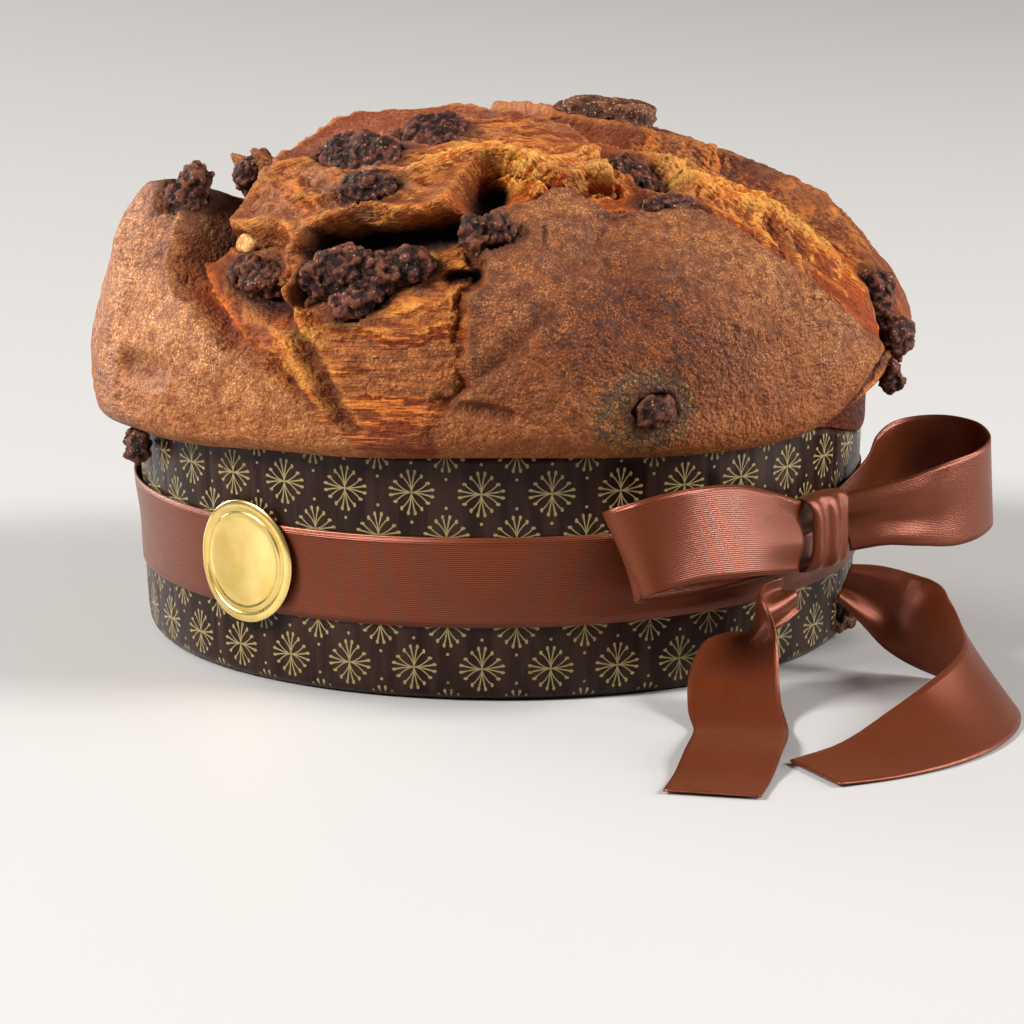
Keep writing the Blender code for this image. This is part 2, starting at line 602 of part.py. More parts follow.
def keep_largest(mesh):
    body = bmesh.new()
    body.from_mesh(mesh)
    bmesh.ops.triangulate(body, faces=body.faces[:])
    bmesh.ops.remove_doubles(body, verts=body.verts[:], dist=0.00002)
    bmesh.ops.dissolve_degenerate(body, dist=0.00002, edges=body.edges[:])
    unseen = set(body.verts)
    islands = []
    while unseen:
        island = {unseen.pop()}
        edge = list(island)
        while edge:
            point = edge.pop()
            for link in point.link_edges:
                other = link.other_vert(point)
                if other in unseen:
                    unseen.discard(other)
                    island.add(other)
                    edge.append(other)
        islands.append(island)
    largest = max(islands, key=len)
    scraps = [point for point in body.verts if point not in largest]
    bmesh.ops.delete(body, geom=scraps, context="VERTS")
    body.to_mesh(mesh)
    body.free()


def build_lumps():
    for name, meshes in lump_meshes().items():
        node = bpy.data.objects.new(name, meshes[0])
        bpy.context.scene.collection.objects.link(node)
        if len(meshes) > 1:
            boolean(node, meshes[1:], "UNION")
        node.data.materials.clear()
        node.data.materials.append(material("nut" if name == "nut_piece" else "chocolate"))
        node.data.shade_smooth()
        node.data.set_sharp_from_angle(angle=math.radians(SHARP_ANGLE))


def cut_pockets(bread, case):
    pockets = lump_meshes(grow=1.5 * GAP)
    burst = pockets["chocolate_burst"][0].copy()
    boolean(bread, [mesh for group in pockets.values() for mesh in group], "DIFFERENCE")
    boolean(case, [burst], "DIFFERENCE")


def build_band():
    """The ribbon round the case: a ring that follows the wall's slope."""
    azimuths = np.arange(CASE_STEPS) * 360 / CASE_STEPS
    low, high = BAND_BASE, BAND_BASE + RIBBON_WIDTH
    inner = GAP
    outer = GAP + RIBBON_THICK
    rows = [(low, inner), (low, outer), (high, outer), (high, inner)]
    rings = [ring_points(azimuths, case_radius(h) + r, h) for h, r in rows]
    faces = []
    for row in range(4):
        for i in range(CASE_STEPS):
            j = (i + 1) % CASE_STEPS
            here, there = row * CASE_STEPS, ((row + 1) % 4) * CASE_STEPS
            faces.append((here + i, there + i, there + j, here + j))
    return add_object("ribbon_band", np.concatenate(rings), faces, "satin")


def build_seal():
    """The round foil seal, bent to the band, with a raised ring inside its edge."""
    inner = case_radius(SEAL_HEIGHT + SEAL_RADIUS) + RIBBON_THICK + 2 * GAP
    slope = 0.04
    profile = (
        (SEAL_RIM_INSIDE, SEAL_THICK),
        (SEAL_RIM_INSIDE + slope, SEAL_THICK + SEAL_RIM),
        (SEAL_RIM_OUTSIDE - slope, SEAL_THICK + SEAL_RIM),
        (1.0, SEAL_THICK),
        (1.0, 0.0),
    )
    points = [(0.0, 0.0, SEAL_THICK)]
    for share, out in profile:
        radius = share * SEAL_RADIUS
        for i in range(SEAL_STEPS):
            turn = 2 * math.pi * i / SEAL_STEPS
            points.append((radius * math.cos(turn), radius * math.sin(turn), out))
    points.append((0.0, 0.0, 0.0))
    placed = []
    for across, up, out in points:
        azimuth = SEAL_AZIMUTH + math.degrees(across / inner)
        placed.append(on_cylinder(azimuth, inner + out, SEAL_HEIGHT + up))
    return add_object("seal", placed, lathe_faces(len(profile), SEAL_STEPS), "foil")


def build_knot():
    """The knot: a soft pillow of ribbon, flat towards the case."""
    outward = on_cylinder(KNOT_AZIMUTH, 1.0, 0.0)
    frame = lump_frame(on_cylinder(KNOT_AZIMUTH, KNOT_RADIUS, KNOT_HEIGHT), outward, 0)
    ball = bmesh.new()
    bmesh.ops.create_uvsphere(ball, u_segments=14, v_segments=8, radius=1.0)
    across, out, up = KNOT_HALF
    for point in ball.verts:
        squared = [math.copysign(abs(c) ** KNOT_SQUARENESS, c) for c in point.co]
        waist = 1 - KNOT_WAIST * (1 - squared[1] ** 2)
        point.co = frame @ Vector((squared[0] * across * waist, squared[1] * up, squared[2] * out))
    mesh = bpy.data.meshes.new("bow_knot")
    ball.to_mesh(mesh)
    ball.free()
    node = bpy.data.objects.new("bow_knot", mesh)
    bpy.context.scene.collection.objects.link(node)
    mesh.materials.append(material("satin"))
    mesh.shade_smooth()
    return node


def smooth_route(stations):
    """A smooth curve through the stations: middle, direction across and width at each step."""
    values = np.array([(*middle, *across, width) for middle, across, width in stations])
    padded = np.vstack([2 * values[0] - values[1], values, 2 * values[-1] - values[-2]])
    steps = np.linspace(0, len(values) - 1, ROUTE_STEPS)
    out = []
    for step in steps:
        i = int(min(step, len(values) - 2))
        t = step - i
        a, b, c, d = padded[i : i + 4]
        out.append(
            0.5 * (2 * b + (c - a) * t + (2 * a - 5 * b + 4 * c - d) * t**2
                   + (3 * b - a - 3 * c + d) * t**3)
        )
    out = np.array(out)
    across = out[:, 3:6] / np.linalg.norm(out[:, 3:6], axis=1)[:, None]
    return out[:, :3], across, out[:, 6]


def build_strip(name):
    """A strip of ribbon along its route. Both sides are split the same way where it twists."""
    middle, across, width = smooth_route(ROUTES[name])
    along = np.gradient(middle, axis=0)
    along /= np.linalg.norm(along, axis=1)[:, None]
    across = across - (across * along).sum(axis=1)[:, None] * along
    across /= np.linalg.norm(across, axis=1)[:, None]
    face = np.cross(along, across) * RIBBON_THICK / 2
    half = across * width[:, None] / 2
    rows = np.stack([middle - half - face, middle + half - face, middle + half + face,
                     middle - half + face], axis=1)
    rows[..., 2] = np.maximum(rows[..., 2], GAP)
    count = len(rows)
    faces = [(0, 1, 2, 3), tuple(4 * (count - 1) + i for i in (3, 2, 1, 0))]
    row_faces = ((0, 4, 5), (0, 5, 1), (1, 5, 6, 2), (2, 6, 3), (6, 7, 3), (3, 7, 4, 0))
    for row in range(count - 1):
        faces += [tuple(4 * row + i for i in face) for face in row_faces]
    return add_object(name, rows.reshape(-1, 3), faces, "satin")


clear_scene()
case = build_case()
bread = build_bread()
build_lumps()
cut_pockets(bread, case)
build_band()
build_seal()
build_knot()
for route in ROUTES:
    build_strip(route)
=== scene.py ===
# %% [markdown]
# # Dressing a chocolate panettone
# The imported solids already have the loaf's true size: a paper case about 21 cm wide, a crown that
# has risen over its rim and torn open, lumps of chocolate, a satin ribbon and a foil seal. This
# lesson keeps that frame and gives every surface the finish of the real one.

import math

import bpy
import numpy as np
from mathutils import Matrix, Vector, noise
from mathutils.bvhtree import BVHTree


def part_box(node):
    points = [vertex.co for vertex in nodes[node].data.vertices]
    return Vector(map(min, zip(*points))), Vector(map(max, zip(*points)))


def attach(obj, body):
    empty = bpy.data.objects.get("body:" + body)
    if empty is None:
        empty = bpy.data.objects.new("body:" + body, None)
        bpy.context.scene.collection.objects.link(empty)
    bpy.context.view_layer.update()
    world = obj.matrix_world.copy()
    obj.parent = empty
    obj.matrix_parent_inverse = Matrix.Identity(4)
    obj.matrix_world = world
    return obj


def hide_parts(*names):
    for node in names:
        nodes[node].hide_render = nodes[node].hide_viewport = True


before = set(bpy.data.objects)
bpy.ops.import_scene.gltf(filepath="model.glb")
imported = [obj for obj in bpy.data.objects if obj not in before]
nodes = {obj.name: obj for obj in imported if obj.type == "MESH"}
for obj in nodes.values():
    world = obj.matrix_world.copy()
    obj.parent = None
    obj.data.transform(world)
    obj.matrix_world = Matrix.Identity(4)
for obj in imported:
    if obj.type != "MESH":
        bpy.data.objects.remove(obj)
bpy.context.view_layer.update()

# %% [markdown]
# The camera comes first, because every later look is judged through it. The picture was taken with
# a long lens, a little above the loaf, so the camera stands well back and looks down by about 12
# degrees. A long lens keeps the round case from bulging at its edges.

# %% Place the camera
PICTURE = 1024
CAMERA_PLACE = Vector((0.0, -1.2634, 0.3061))
CAMERA_YAW = math.radians(0.161)
CAMERA_PITCH = math.radians(12.309)
FOCAL_PIXELS = 4436
SENSOR = 36.0


def place_camera():
    lens = bpy.data.cameras.new("view")
    lens.sensor_width = SENSOR
    lens.lens = FOCAL_PIXELS / PICTURE * SENSOR
    lens.clip_end = 50.0
    camera = bpy.data.objects.new("view", lens)
    bpy.context.scene.collection.objects.link(camera)
    ahead = Vector(
        (
            math.sin(CAMERA_YAW) * math.cos(CAMERA_PITCH),
            math.cos(CAMERA_YAW) * math.cos(CAMERA_PITCH),
            -math.sin(CAMERA_PITCH),
        )
    )
    turned = ahead.to_track_quat("-Z", "Y").to_matrix().to_4x4()
    camera.matrix_world = Matrix.Translation(CAMERA_PLACE) @ turned
    bpy.context.scene.camera = camera
    return camera


camera = place_camera()
print("lens in mm:", round(camera.data.lens, 1))

# %% [markdown]
# A few small helpers are used again and again. Operators work on whatever is selected, so each
# piece starts from an empty selection. Points, edges and faces are read as whole arrays, which is
# quick enough for a mesh of a hundred thousand points.

# %% Helpers for operators and points
def deselect_all():
    if bpy.context.object and bpy.context.object.mode != "OBJECT":
        bpy.ops.object.mode_set(mode="OBJECT")
    bpy.ops.object.select_all(action="DESELECT")


def take(piece):
    """Makes one piece the only selected and the active one."""
    deselect_all()
    piece.select_set(True)
    bpy.context.view_layer.objects.active = piece


def start_editing(piece, kind="VERT", action="SELECT"):
    """Edit mode on one piece, with everything selected or nothing."""
    take(piece)
    bpy.ops.object.mode_set(mode="EDIT")
    bpy.ops.mesh.select_mode(type=kind)
    bpy.ops.mesh.select_all(action=action)


def stop_editing():
    bpy.ops.object.mode_set(mode="OBJECT")


def read(items, name, width=1, kind=float):
    """One property of all points, edges or faces, as an array."""
    values = np.empty(len(items) * width, kind)
    items.foreach_get(name, values)
    return values.reshape(-1, width) if width > 1 else values


def points_of(piece):
    return read(piece.data.vertices, "co", 3)


def set_points(piece, points):
    piece.data.vertices.foreach_set("co", np.asarray(points, float).ravel())
    piece.data.update()


def apply_modifier(piece, kind, **settings):
    take(piece)
    made = piece.modifiers.new(kind.lower(), kind)
    for name, value in settings.items():
        setattr(made, name, value)
    bpy.ops.object.modifier_apply(modifier=made.name)


def add_mask(piece, name, values):
    """Stores one number for each point, for a material to read."""
    made = piece.data.attributes.new(name, "FLOAT", "POINT")
    made.data.foreach_set("value", np.asarray(values, np.float32))


def finish_piece(piece, slot, *replaced):
    """Smooth shading, a ride on the one body, and the solids it stands for hidden; the slot is not
    used.
    """
    take(piece)
    bpy.ops.object.shade_smooth()
    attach(piece, "root")
    if replaced:
        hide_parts(*replaced)


# %% Helpers for shapes
def unit(vectors):
    """The same directions with a length of 1."""
    return vectors / np.linalg.norm(vectors, axis=-1, keepdims=True)


def smooth(x):
    x = np.clip(x, 0.0, 1.0)
    return x * x * (3 - 2 * x)


def bell(distance, half_width, power=2):
    """1 at no distance, fading to 0 past the half width."""
    return np.exp(-(np.abs(distance / half_width) ** power))


def azimuth_of(points):
    """Degrees round the loaf, 0 at the front and growing to the right."""
    return np.degrees(np.arctan2(points[:, 0], -points[:, 1]))


def turn_from(zero, azimuth):
    """Degrees from one azimuth to others, from -180 to 180."""
    return (np.asarray(azimuth, float) - zero + 180) % 360 - 180


def on_ring(azimuth, radius, height):
    turn = np.radians(azimuth)
    return np.stack(
        [radius * np.sin(turn), -radius * np.cos(turn), np.broadcast_to(height, turn.shape)], -1
    )


def grain(points, size, seed):
    """Smooth noise from -1 to 1, with lumps of about that size."""
    offset = Vector((seed * 1.7, seed * 3.1, seed * 5.3))
    return np.array([noise.noise(Vector(p) + offset) for p in np.asarray(points) / size])


def crests(points, size, seed):
    """Sharp crests from 0 to 1 with rounded troughs between them, about that far apart."""
    return np.clip(1 - 2.4 * np.abs(grain(points, size, seed)), 0.0, 1.0) ** 1.5


def raised_parts(piece, rounds, height):
    """How far each point stands out of its surroundings, from -1 in a pit to 1 on a crest."""
    points = points_of(piece)
    here, there = read(piece.data.edges, "vertices", 2, int).T
    start, end = np.concatenate([here, there]), np.concatenate([there, here])
    neighbours = np.bincount(start, minlength=len(points))
    mean = points
    for _ in range(rounds):
        sums = [np.bincount(start, mean[end, axis], len(points)) for axis in range(3)]
        mean = np.stack(sums, -1) / neighbours[:, None]
    normals = read(piece.data.vertices, "normal", 3)
    return np.clip(((points - mean) * normals).sum(axis=1) / height, -1.0, 1.0)


print("a bell at its half width:", round(float(bell(1.0, 1.0)), 3))

# %% [markdown]
# Materials are built from nodes. One short function adds a node and joins it to what feeds it, and
# the others say what a node is for. A socket knows the tree it belongs to, so only the first node
# of a material asks for its tree. Colours are written as they look on a screen, from 0 to 255, and
# turned into the linear values that the renderer works with.

# %% Helpers for materials
# Places of the colour sockets on the Mix node, whose sockets share their names
MIX_SHARE, MIX_FIRST, MIX_SECOND, MIX_RESULT = 0, 6, 7, 2


def screen(red, green, blue):
    """A colour as seen on a screen, as linear light."""
    shares = [c / 255 for c in (red, green, blue)]
    return (*[s / 12.92 if s <= 0.04045 else ((s + 0.055) / 1.055) ** 2.4 for s in shares], 1.0)


def add_node(tree, kind, inputs=None, **settings):
    """A node with its settings, its inputs linked to sockets or set to plain values."""
    made = tree.nodes.new(kind)
    for name, value in settings.items():
        setattr(made, name, value)
    for name, value in (inputs or {}).items():
        if isinstance(value, bpy.types.NodeSocket):
            tree.links.new(value, made.inputs[name])
        else:
            made.inputs[name].default_value = value
    return made


def math_node(operation, *values):
    tree = next(v.id_data for v in values if isinstance(v, bpy.types.NodeSocket))
    return add_node(tree, "ShaderNodeMath", dict(enumerate(values)), operation=operation).outputs[0]


def times(first, second):
    return math_node("MULTIPLY", first, second)


def plus(first, second):
    return math_node("ADD", first, second)


def minus(first, second):
    return math_node("SUBTRACT", first, second)


def times_plus(first, factor, added):
    return math_node("MULTIPLY_ADD", first, factor, added)


def fade(value, low, high):
    """Goes from 0 at low to 1 at high, smoothly."""
    inputs = {"Value": value, "From Min": low, "From Max": high}
    made = add_node(value.id_data, "ShaderNodeMapRange", inputs, interpolation_type="SMOOTHSTEP")
    return made.outputs["Result"]


def ramp(value, low, high):
    """Goes from low at 0 to high at 1, evenly."""
    inputs = {"Value": value, "To Min": low, "To Max": high}
    return add_node(value.id_data, "ShaderNodeMapRange", inputs).outputs["Result"]


def blend(share, first, second):
    """Mixes two colours by a share. Each colour is a socket or a plain colour."""
    inputs = {MIX_SHARE: share, MIX_FIRST: first, MIX_SECOND: second}
    return add_node(share.id_data, "ShaderNodeMix", inputs, data_type="RGBA").outputs[MIX_RESULT]


def coat(colour, share, strength, paint):
    """Lays a plain colour over another by a share, at most as strongly as said."""
    return blend(times(share, strength), colour, screen(*paint))


def parts_of(place):
    """The three numbers of a place, each on its own socket."""
    return add_node(place.id_data, "ShaderNodeSeparateXYZ", {0: place}).outputs


def scaled(place, scale):
    """The place squeezed or stretched along the axes."""
    inputs = {"Vector": place, "Scale": scale}
    return add_node(place.id_data, "ShaderNodeMapping", inputs).outputs["Vector"]


def noise_value(place, scale, detail=3.0, roughness=0.55):
    inputs = {"Vector": place, "Scale": scale, "Detail": detail, "Roughness": roughness}
    return add_node(place.id_data, "ShaderNodeTexNoise", inputs).outputs["Fac"]


def cell_value(place, scale):
    """Distance to the middle of the nearest of many rounded cells."""
    inputs = {"Vector": place, "Scale": scale}
    return add_node(place.id_data, "ShaderNodeTexVoronoi", inputs, feature="F1").outputs["Distance"]


def object_place(tree):
    return tree.nodes.new("ShaderNodeTexCoord").outputs["Object"]


def attribute(tree, name, output="Fac"):
    return add_node(tree, "ShaderNodeAttribute", attribute_name=name).outputs[output]


def new_material(name, **values):
    """A material with one Principled shader, its constant values set on its own sockets."""
    made = bpy.data.materials.new(name)
    made.use_nodes = True
    shader = made.node_tree.nodes["Principled BSDF"]
    for socket, value in values.items():
        shader.inputs[socket.replace("_", " ")].default_value = value
    return made, made.node_tree, shader


def feed(shader, **sockets):
    """Links what changes over the surface to the shader's sockets."""
    for name, value in sockets.items():
        shader.id_data.links.new(value, shader.inputs[name.replace("_", " ")])


def bump(height, strength, distance):
    inputs = {"Height": height, "Strength": strength, "Distance": distance}
    return add_node(height.id_data, "ShaderNodeBump", inputs).outputs["Normal"]


print("white as light:", screen(255, 255, 255))

# %% [markdown]
# Baked crust, chocolate and foil all have fine grain in two sizes. As several materials want it,
# the grain is a node group: it is built once, and each material sets its own scale.

# %% Build the shared grain group
COARSE_SHARE = 0.14


def new_group(name, inputs, outputs):
    """A node group with its sockets, and what they are inside the group."""
    group = bpy.data.node_groups.new(name, "ShaderNodeTree")
    for in_out, sockets in (("INPUT", inputs), ("OUTPUT", outputs)):
        for socket, kind in sockets.items():
            group.interface.new_socket(socket, in_out=in_out, socket_type="NodeSocket" + kind)
    start = group.nodes.new("NodeGroupInput")
    end = group.nodes.new("NodeGroupOutput")
    return group, start.outputs, end.inputs


def build_grain_group():
    group, start, end = new_group(
        "two_grains", {"Place": "Vector", "Scale": "Float"}, {"Fine": "Float", "Coarse": "Float"}
    )
    wider = times(start["Scale"], COARSE_SHARE)
    group.links.new(noise_value(start["Place"], start["Scale"], 3.0, 0.6), end["Fine"])
    group.links.new(noise_value(start["Place"], wider, 4.0, 0.6), end["Coarse"])
    return group


grain_group = build_grain_group()


def two_grains(place, scale):
    inputs = {"Place": place, "Scale": scale}
    made = add_node(place.id_data, "ShaderNodeGroup", node_tree=grain_group, inputs=inputs)
    return made.outputs["Fine"], made.outputs["Coarse"]


print("shared group:", grain_group.name)

# %% [markdown]
# The crown is the heart of the picture. On the real loaf a smooth skin set first in the oven, and
# the dough that rose later tore it into sheets and stretched golden strands between them. A torn
# crust can't be extruded or bevelled, so it is made as a sculptor would: a fine ball is cut, cut
# finer where the crust is torn, and every point is then moved by one rule. The rule uses the same
# named places as the solid, as azimuth (0 at the front, growing to the right) and elevation.

# %% Name the places of the crown
GAP = 0.0003
CASE_FOOT = 0.102
CASE_RIM = 0.105
CASE_HEIGHT = 0.0685
CASE_WALL = 0.0012
CASE_CORNER = 0.004
RIM_DIP = 0.0085
RIM_DIP_AZIMUTH = 78.0
RIM_DIP_REACH = 17.0
CROWN_TOP = 0.149
LIP_FLATNESS = 0.80
CHART_RADIUS = 0.110
TORN_DEPTH = 0.0065
TORN_FROM = -6.0
TORN_FULL = 18.0
LIP_FADE = 7.0
SLOT_RADIUS = CASE_RIM + 2 * GAP

# Azimuth, widest radius, height of the widest place, squareness above, lip height, squareness below
CROWN_SIDES = (
    (-180, 0.1130, 0.0800, 1.75, 0.0650, 4.0),
    (-135, 0.1150, 0.0790, 1.75, 0.0640, 4.5),
    (-90, 0.1175, 0.0755, 2.20, 0.0600, 5.5),
    (-60, 0.1165, 0.0770, 2.15, 0.0635, 5.0),
    (-30, 0.1145, 0.0780, 2.25, 0.0660, 4.5),
    (0, 0.1135, 0.0820, 2.30, 0.0670, 4.5),
    (40, 0.1125, 0.0840, 2.10, 0.0635, 4.5),
    (75, 0.1170, 0.0870, 1.75, 0.0640, 2.4),
    (90, 0.1185, 0.0880, 1.70, 0.0640, 2.2),
    (135, 0.1150, 0.0850, 1.65, 0.0640, 3.5),
    (180, 0.1130, 0.0800, 1.75, 0.0650, 4.0),
)

# Sheets of smooth skin: how light the skin is baked, how wide its edge rolls, and its outline
SKINS = {
    "left": (
        0.75,
        0.0036,
        ((-76, 43), (-72.7, 36), (-64.4, 31), (-60, 26.7), (-59, 22.4), (-57.3, 19), (-53.4, 15.9),
         (-49.5, 14.1), (-45.4, 12.1), (-41, 9.4), (-37.3, 8.2), (-33.3, 6.7), (-29.5, 4.1),
         (-25.8, 1.3), (-22.8, -0.7), (-18, -9), (-20, -24), (-85, -26), (-150, -24),
         (-152, 10), (-140, 22), (-115, 30), (-97, 38), (-84, 43)),
    ),
    "right": (
        0.30,
        0.0030,
        ((-8, 26.5), (-4.8, 28), (-2.3, 31.3), (2.3, 33.2), (6.6, 34), (10.2, 36.3), (16.7, 36.5),
         (17.5, 33.9), (21.9, 30.8), (27.5, 30.2), (40.9, 28.9), (45, 24.6), (49.3, 19.4),
         (53, 15.2), (57.3, 10.3), (62.2, 5), (70, 0), (65, -4), (60, -8), (57, -24), (-10, -24),
         (-10, -3), (-8, 0.4), (-4.5, 3.5), (-5.6, 7), (-5.7, 12.2), (-5.7, 16.3), (-3.2, 18.2),
         (-3.4, 21), (-5.4, 24.3)),
    ),
    "dome": (
        0.55,
        0.0056,
        ((-57, 29), (-54, 24.7), (-49, 23.6), (-43.4, 25.4), (-39, 25), (-35.5, 21.4), (-31, 16),
         (-29.5, 17), (-32, 22), (-31.5, 27.2), (-27, 30.2), (-18.4, 29.4), (-14.2, 29.2),
         (-10.8, 30.7), (-6.8, 32), (-6.8, 35.7), (-5.1, 41), (-2.4, 44.2), (2.8, 44.5),
         (7.2, 40.7), (14.7, 36.8), (22.9, 37.6), (28, 36), (34, 48), (40, 62), (20, 80),
         (-150, 76), (-130, 62), (-90, 55), (-72, 44)),
    ),
    "back": (
        0.35,
        0.0070,
        ((64, 77), (68, 62), (72, 51), (74, 42), (81, 33), (80, 25), (76, 17), (72, 10), (77, 2),
         (80, -10), (84, -24), (120, -26), (160, -26), (195, -24), (196, 5), (186, 30), (178, 52),
         (200, 74)),
    ),
}

# Sheet, azimuth, elevation, rise, reach across and reach up of each soft swelling
SWELLINGS = (
    ("left", -74, 26, 0.0120, 0.024, 0.020),
    ("left", -75, 31, 0.0025, 0.010, 0.009),
    ("right", 33, 14, 0.0020, 0.030, 0.024),
    ("back", 84, 24, 0.0030, 0.016, 0.018),
    ("back", 130, 28, 0.0030, 0.035, 0.025),
)

# Depth, half width, upward push, how much shade is painted into it, and the line of each hollow
HOLLOWS = (
    (0.0150, 0.0085, 0.0060, 1.0, ((-32, 20), (-31, 24), (-26, 26), (-20, 26), (-13, 26.5), (-7, 28))),
    (0.0130, 0.0090, 0.0030, 1.0, ((-3, 35), (-1.5, 39))),
    (0.0110, 0.0080, 0.0000, 1.0, ((48, 45), (44, 39))),
    (0.0110, 0.0060, 0.0000, 0.6, ((-72, 34), (-65, 31.5), (-60, 28), (-57, 23))),
    (0.0210, 0.0130, 0.0000, 0.3, ((-76, 35), (-86, 32), (-96, 30), (-108, 28), (-120, 25))),
    (0.0060, 0.0060, 0.0030, 0.9, ((-45, 17.5), (-39, 15.5), (-34, 15))),
    (0.0050, 0.0030, 0.0010, 1.0, ((-7.5, 19.5), (-4, 19.5))),
    (0.0055, 0.0045, 0.0000, 0.7, ((72, 4), (68, -2), (63, -6), (60, -10))),
    (0.0030, 0.0095, 0.0000, 0.1, ((20.2, 26), (16.5, 21.5), (18.5, 17), (19.5, 12))),
    (0.0014, 0.0040, 0.0000, 0.15, ((6.5, 14), (5, 11), (0, 6.5), (-5, 3.5))),
    (0.0018, 0.0035, 0.0010, 0.3, ((-8, 1.4), (-5.8, 0.3), (1.2, -0.8))),
    (0.0022, 0.0035, 0.0000, 0.4, ((-38.2, 14.2), (-31.5, 11.9), (-25.3, 5.3), (-20.3, -2.7))),
    (0.0025, 0.0060, 0.0000, 0.2, ((-64, 3.5), (-54, 3.5))),
    (0.0100, 0.0080, 0.0030, 0.8, ((-163, 24), (-171, 30), (-176, 38))),
)
print("sheets:", len(SKINS), "hollows:", len(HOLLOWS))

# %% [markdown]
# Finer things lie over those main forms: raised strands, thin creases and a flap of dough that
# bridges the cave. Then come spots of colour and finish: golden dough, scorched places, places where
# light and shade are painted on the skin as lighter and darker tone, and glossy places. Each is a
# line or a spot with a few sizes, so that a change in one place is one changed number.

# %% Name the finer forms of the crust
# Height, half width, how golden it is, and the line of each raised strand
STRANDS = (
    (0.0034, 0.0036, 1.0, ((-19, 42.5), (-12, 46.5), (-3, 48.6), (3, 45.8), (7, 41.2), (10, 37.4))),
    (0.0022, 0.0030, 1.0, ((3, 45.5), (10, 44.5), (18, 43.5), (26, 40.5), (31, 37))),
    (0.0016, 0.0024, 0.8, ((8, 40.5), (14, 39.2), (20, 40), (27, 37.5))),
    (0.0018, 0.0030, 0.9, ((-31, 30), (-27, 32), (-19, 31.2), (-13.5, 31.4), (-10, 33.4))),
    (0.0012, 0.0026, 0.7, ((-52, 26.5), (-46, 27.2), (-40, 27.4), (-35, 24.5))),
    (0.0036, 0.0026, 0.4, ((-33, 15.8), (-31, 13.6), (-29.6, 12.2))),
    (0.0042, 0.0050, 0.8, ((47, 44), (54, 36), (60, 28), (65, 18), (69, 9))),
    (0.0030, 0.0034, 0.9, ((52, 50), (60, 43), (67, 33), (71, 23), (72, 12))),
    (0.0018, 0.0022, 0.8, ((-35, 12.8), (-31.5, 9.8), (-27.5, 5), (-23.5, 0))),
    (0.0024, 0.0024, 0.7, ((48, 41), (54, 33), (60, 25), (66, 14))),
    (0.0022, 0.0022, 0.9, ((51, 45), (58, 37), (64, 28), (69, 17))),
    (0.0018, 0.0020, 0.5, ((56, 50), (63, 42), (68, 33), (72, 24))),
    (0.0014, 0.0018, 0.5, ((46, 34), (52, 27), (58, 18), (64, 9))),
    (0.0012, 0.0018, 0.4, ((-24, 13.8), (-17, 14.3), (-9, 15.4))),
    (0.0010, 0.0016, 0.3, ((-25, 11.2), (-17, 11.6), (-8, 12.2))),
    (0.0009, 0.0012, 0.0, ((38, 13.5), (43, 12), (49, 12), (55, 9.5))),
    (0.0011, 0.0012, 0.0, ((42, 9.5), (47, 9), (52, 7), (58, 6))),
    (0.0008, 0.0011, 0.0, ((35, 9), (40, 7.5), (45, 6.5))),
    (0.0006, 0.0016, 0.0, ((31, 25), (38, 21), (43, 16.5))),
    (0.0006, 0.0016, 0.0, ((-78, -3), (-69, -5.5), (-60, -5.5))),
    (0.0014, 0.0022, 0.2, ((-58, 40), (-50, 44), (-40, 45), (-30, 43))),
    (0.0012, 0.0020, 0.3, ((-48, 31), (-40, 34), (-31, 35.5), (-22, 35))),
    (0.0013, 0.0028, 0.1, ((-60, 38), (-52, 44), (-42, 49), (-30, 52))),
    (0.0012, 0.0030, 0.1, ((-30, 56), (-12, 60), (10, 60), (28, 56))),
    (0.0011, 0.0026, 0.3, ((2, 52), (14, 51), (26, 48), (38, 42))),
    (0.0012, 0.0024, 0.2, ((-44, 44), (-34, 47), (-22, 50), (-8, 53))),
)

# Depth, half width, how much shade is painted into it, and the line of each thin crease
CREASES = (
    (0.0006, 0.0012, 0.40, ((-20.4, -2.5), (-22.8, -0.4), (-25.8, 1.6), (-29.5, 4.3), (-33.3, 6.9))),
    (0.0006, 0.0010, 0.35, ((-19.8, -3.2), (-22, 0.4), (-24.8, 5), (-28.6, 9.2), (-31.2, 11.8))),
    (0.0005, 0.0010, 0.30, ((-44.5, 14.5), (-41, 11.5), (-37.5, 9.6))),
    (0.0007, 0.0011, 0.30, ((-9.8, -5), (-9.4, -2), (-7.4, 0.6), (-4.6, 3.4))),
    (0.0005, 0.0009, 0.25, ((6.5, 14), (3.8, 10), (0.5, 7), (-3, 4.6))),
    (0.0004, 0.0009, 0.20, ((7.5, 20), (8.5, 16), (7, 12.5))),
    (0.0006, 0.0010, 0.30, ((17.5, 20.4), (15.8, 23.2), (19.6, 27.2))),
    (0.0009, 0.0010, 0.60, ((7.8, 27.2), (7.4, 24.4))),
)

# Rise, half width and line of each flap of dough that bridges a hollow
BRIDGES = (
    (0.0024, 0.0019, ((-40, 26), (-36.8, 23.2), (-34.6, 19.8), (-33, 15))),
)

# Azimuth, elevation, reach and strength of each golden place
GOLDEN = (
    (-14, 46, 0.013, 1.0),
    (-4, 48, 0.010, 1.0),
    (6, 43, 0.015, 1.0),
    (24, 42, 0.015, 1.0),
    (-20, 32.2, 0.006, 0.6),
    (-10, 33, 0.006, 0.7),
    (12, 52, 0.010, 0.6),
    (54, 42, 0.018, 1.0),
    (60, 31, 0.015, 1.0),
    (67, 20, 0.015, 1.0),
    (70, 10, 0.009, 0.8),
    (-30, 11, 0.007, 0.9),
    (-25, 4, 0.006, 0.7),
    (-47, 23.5, 0.006, 0.5),
    (-60, 36, 0.006, 0.7),
    (-14, 23.5, 0.008, 0.5),
    (-5.2, 12, 0.004, 0.6),
)

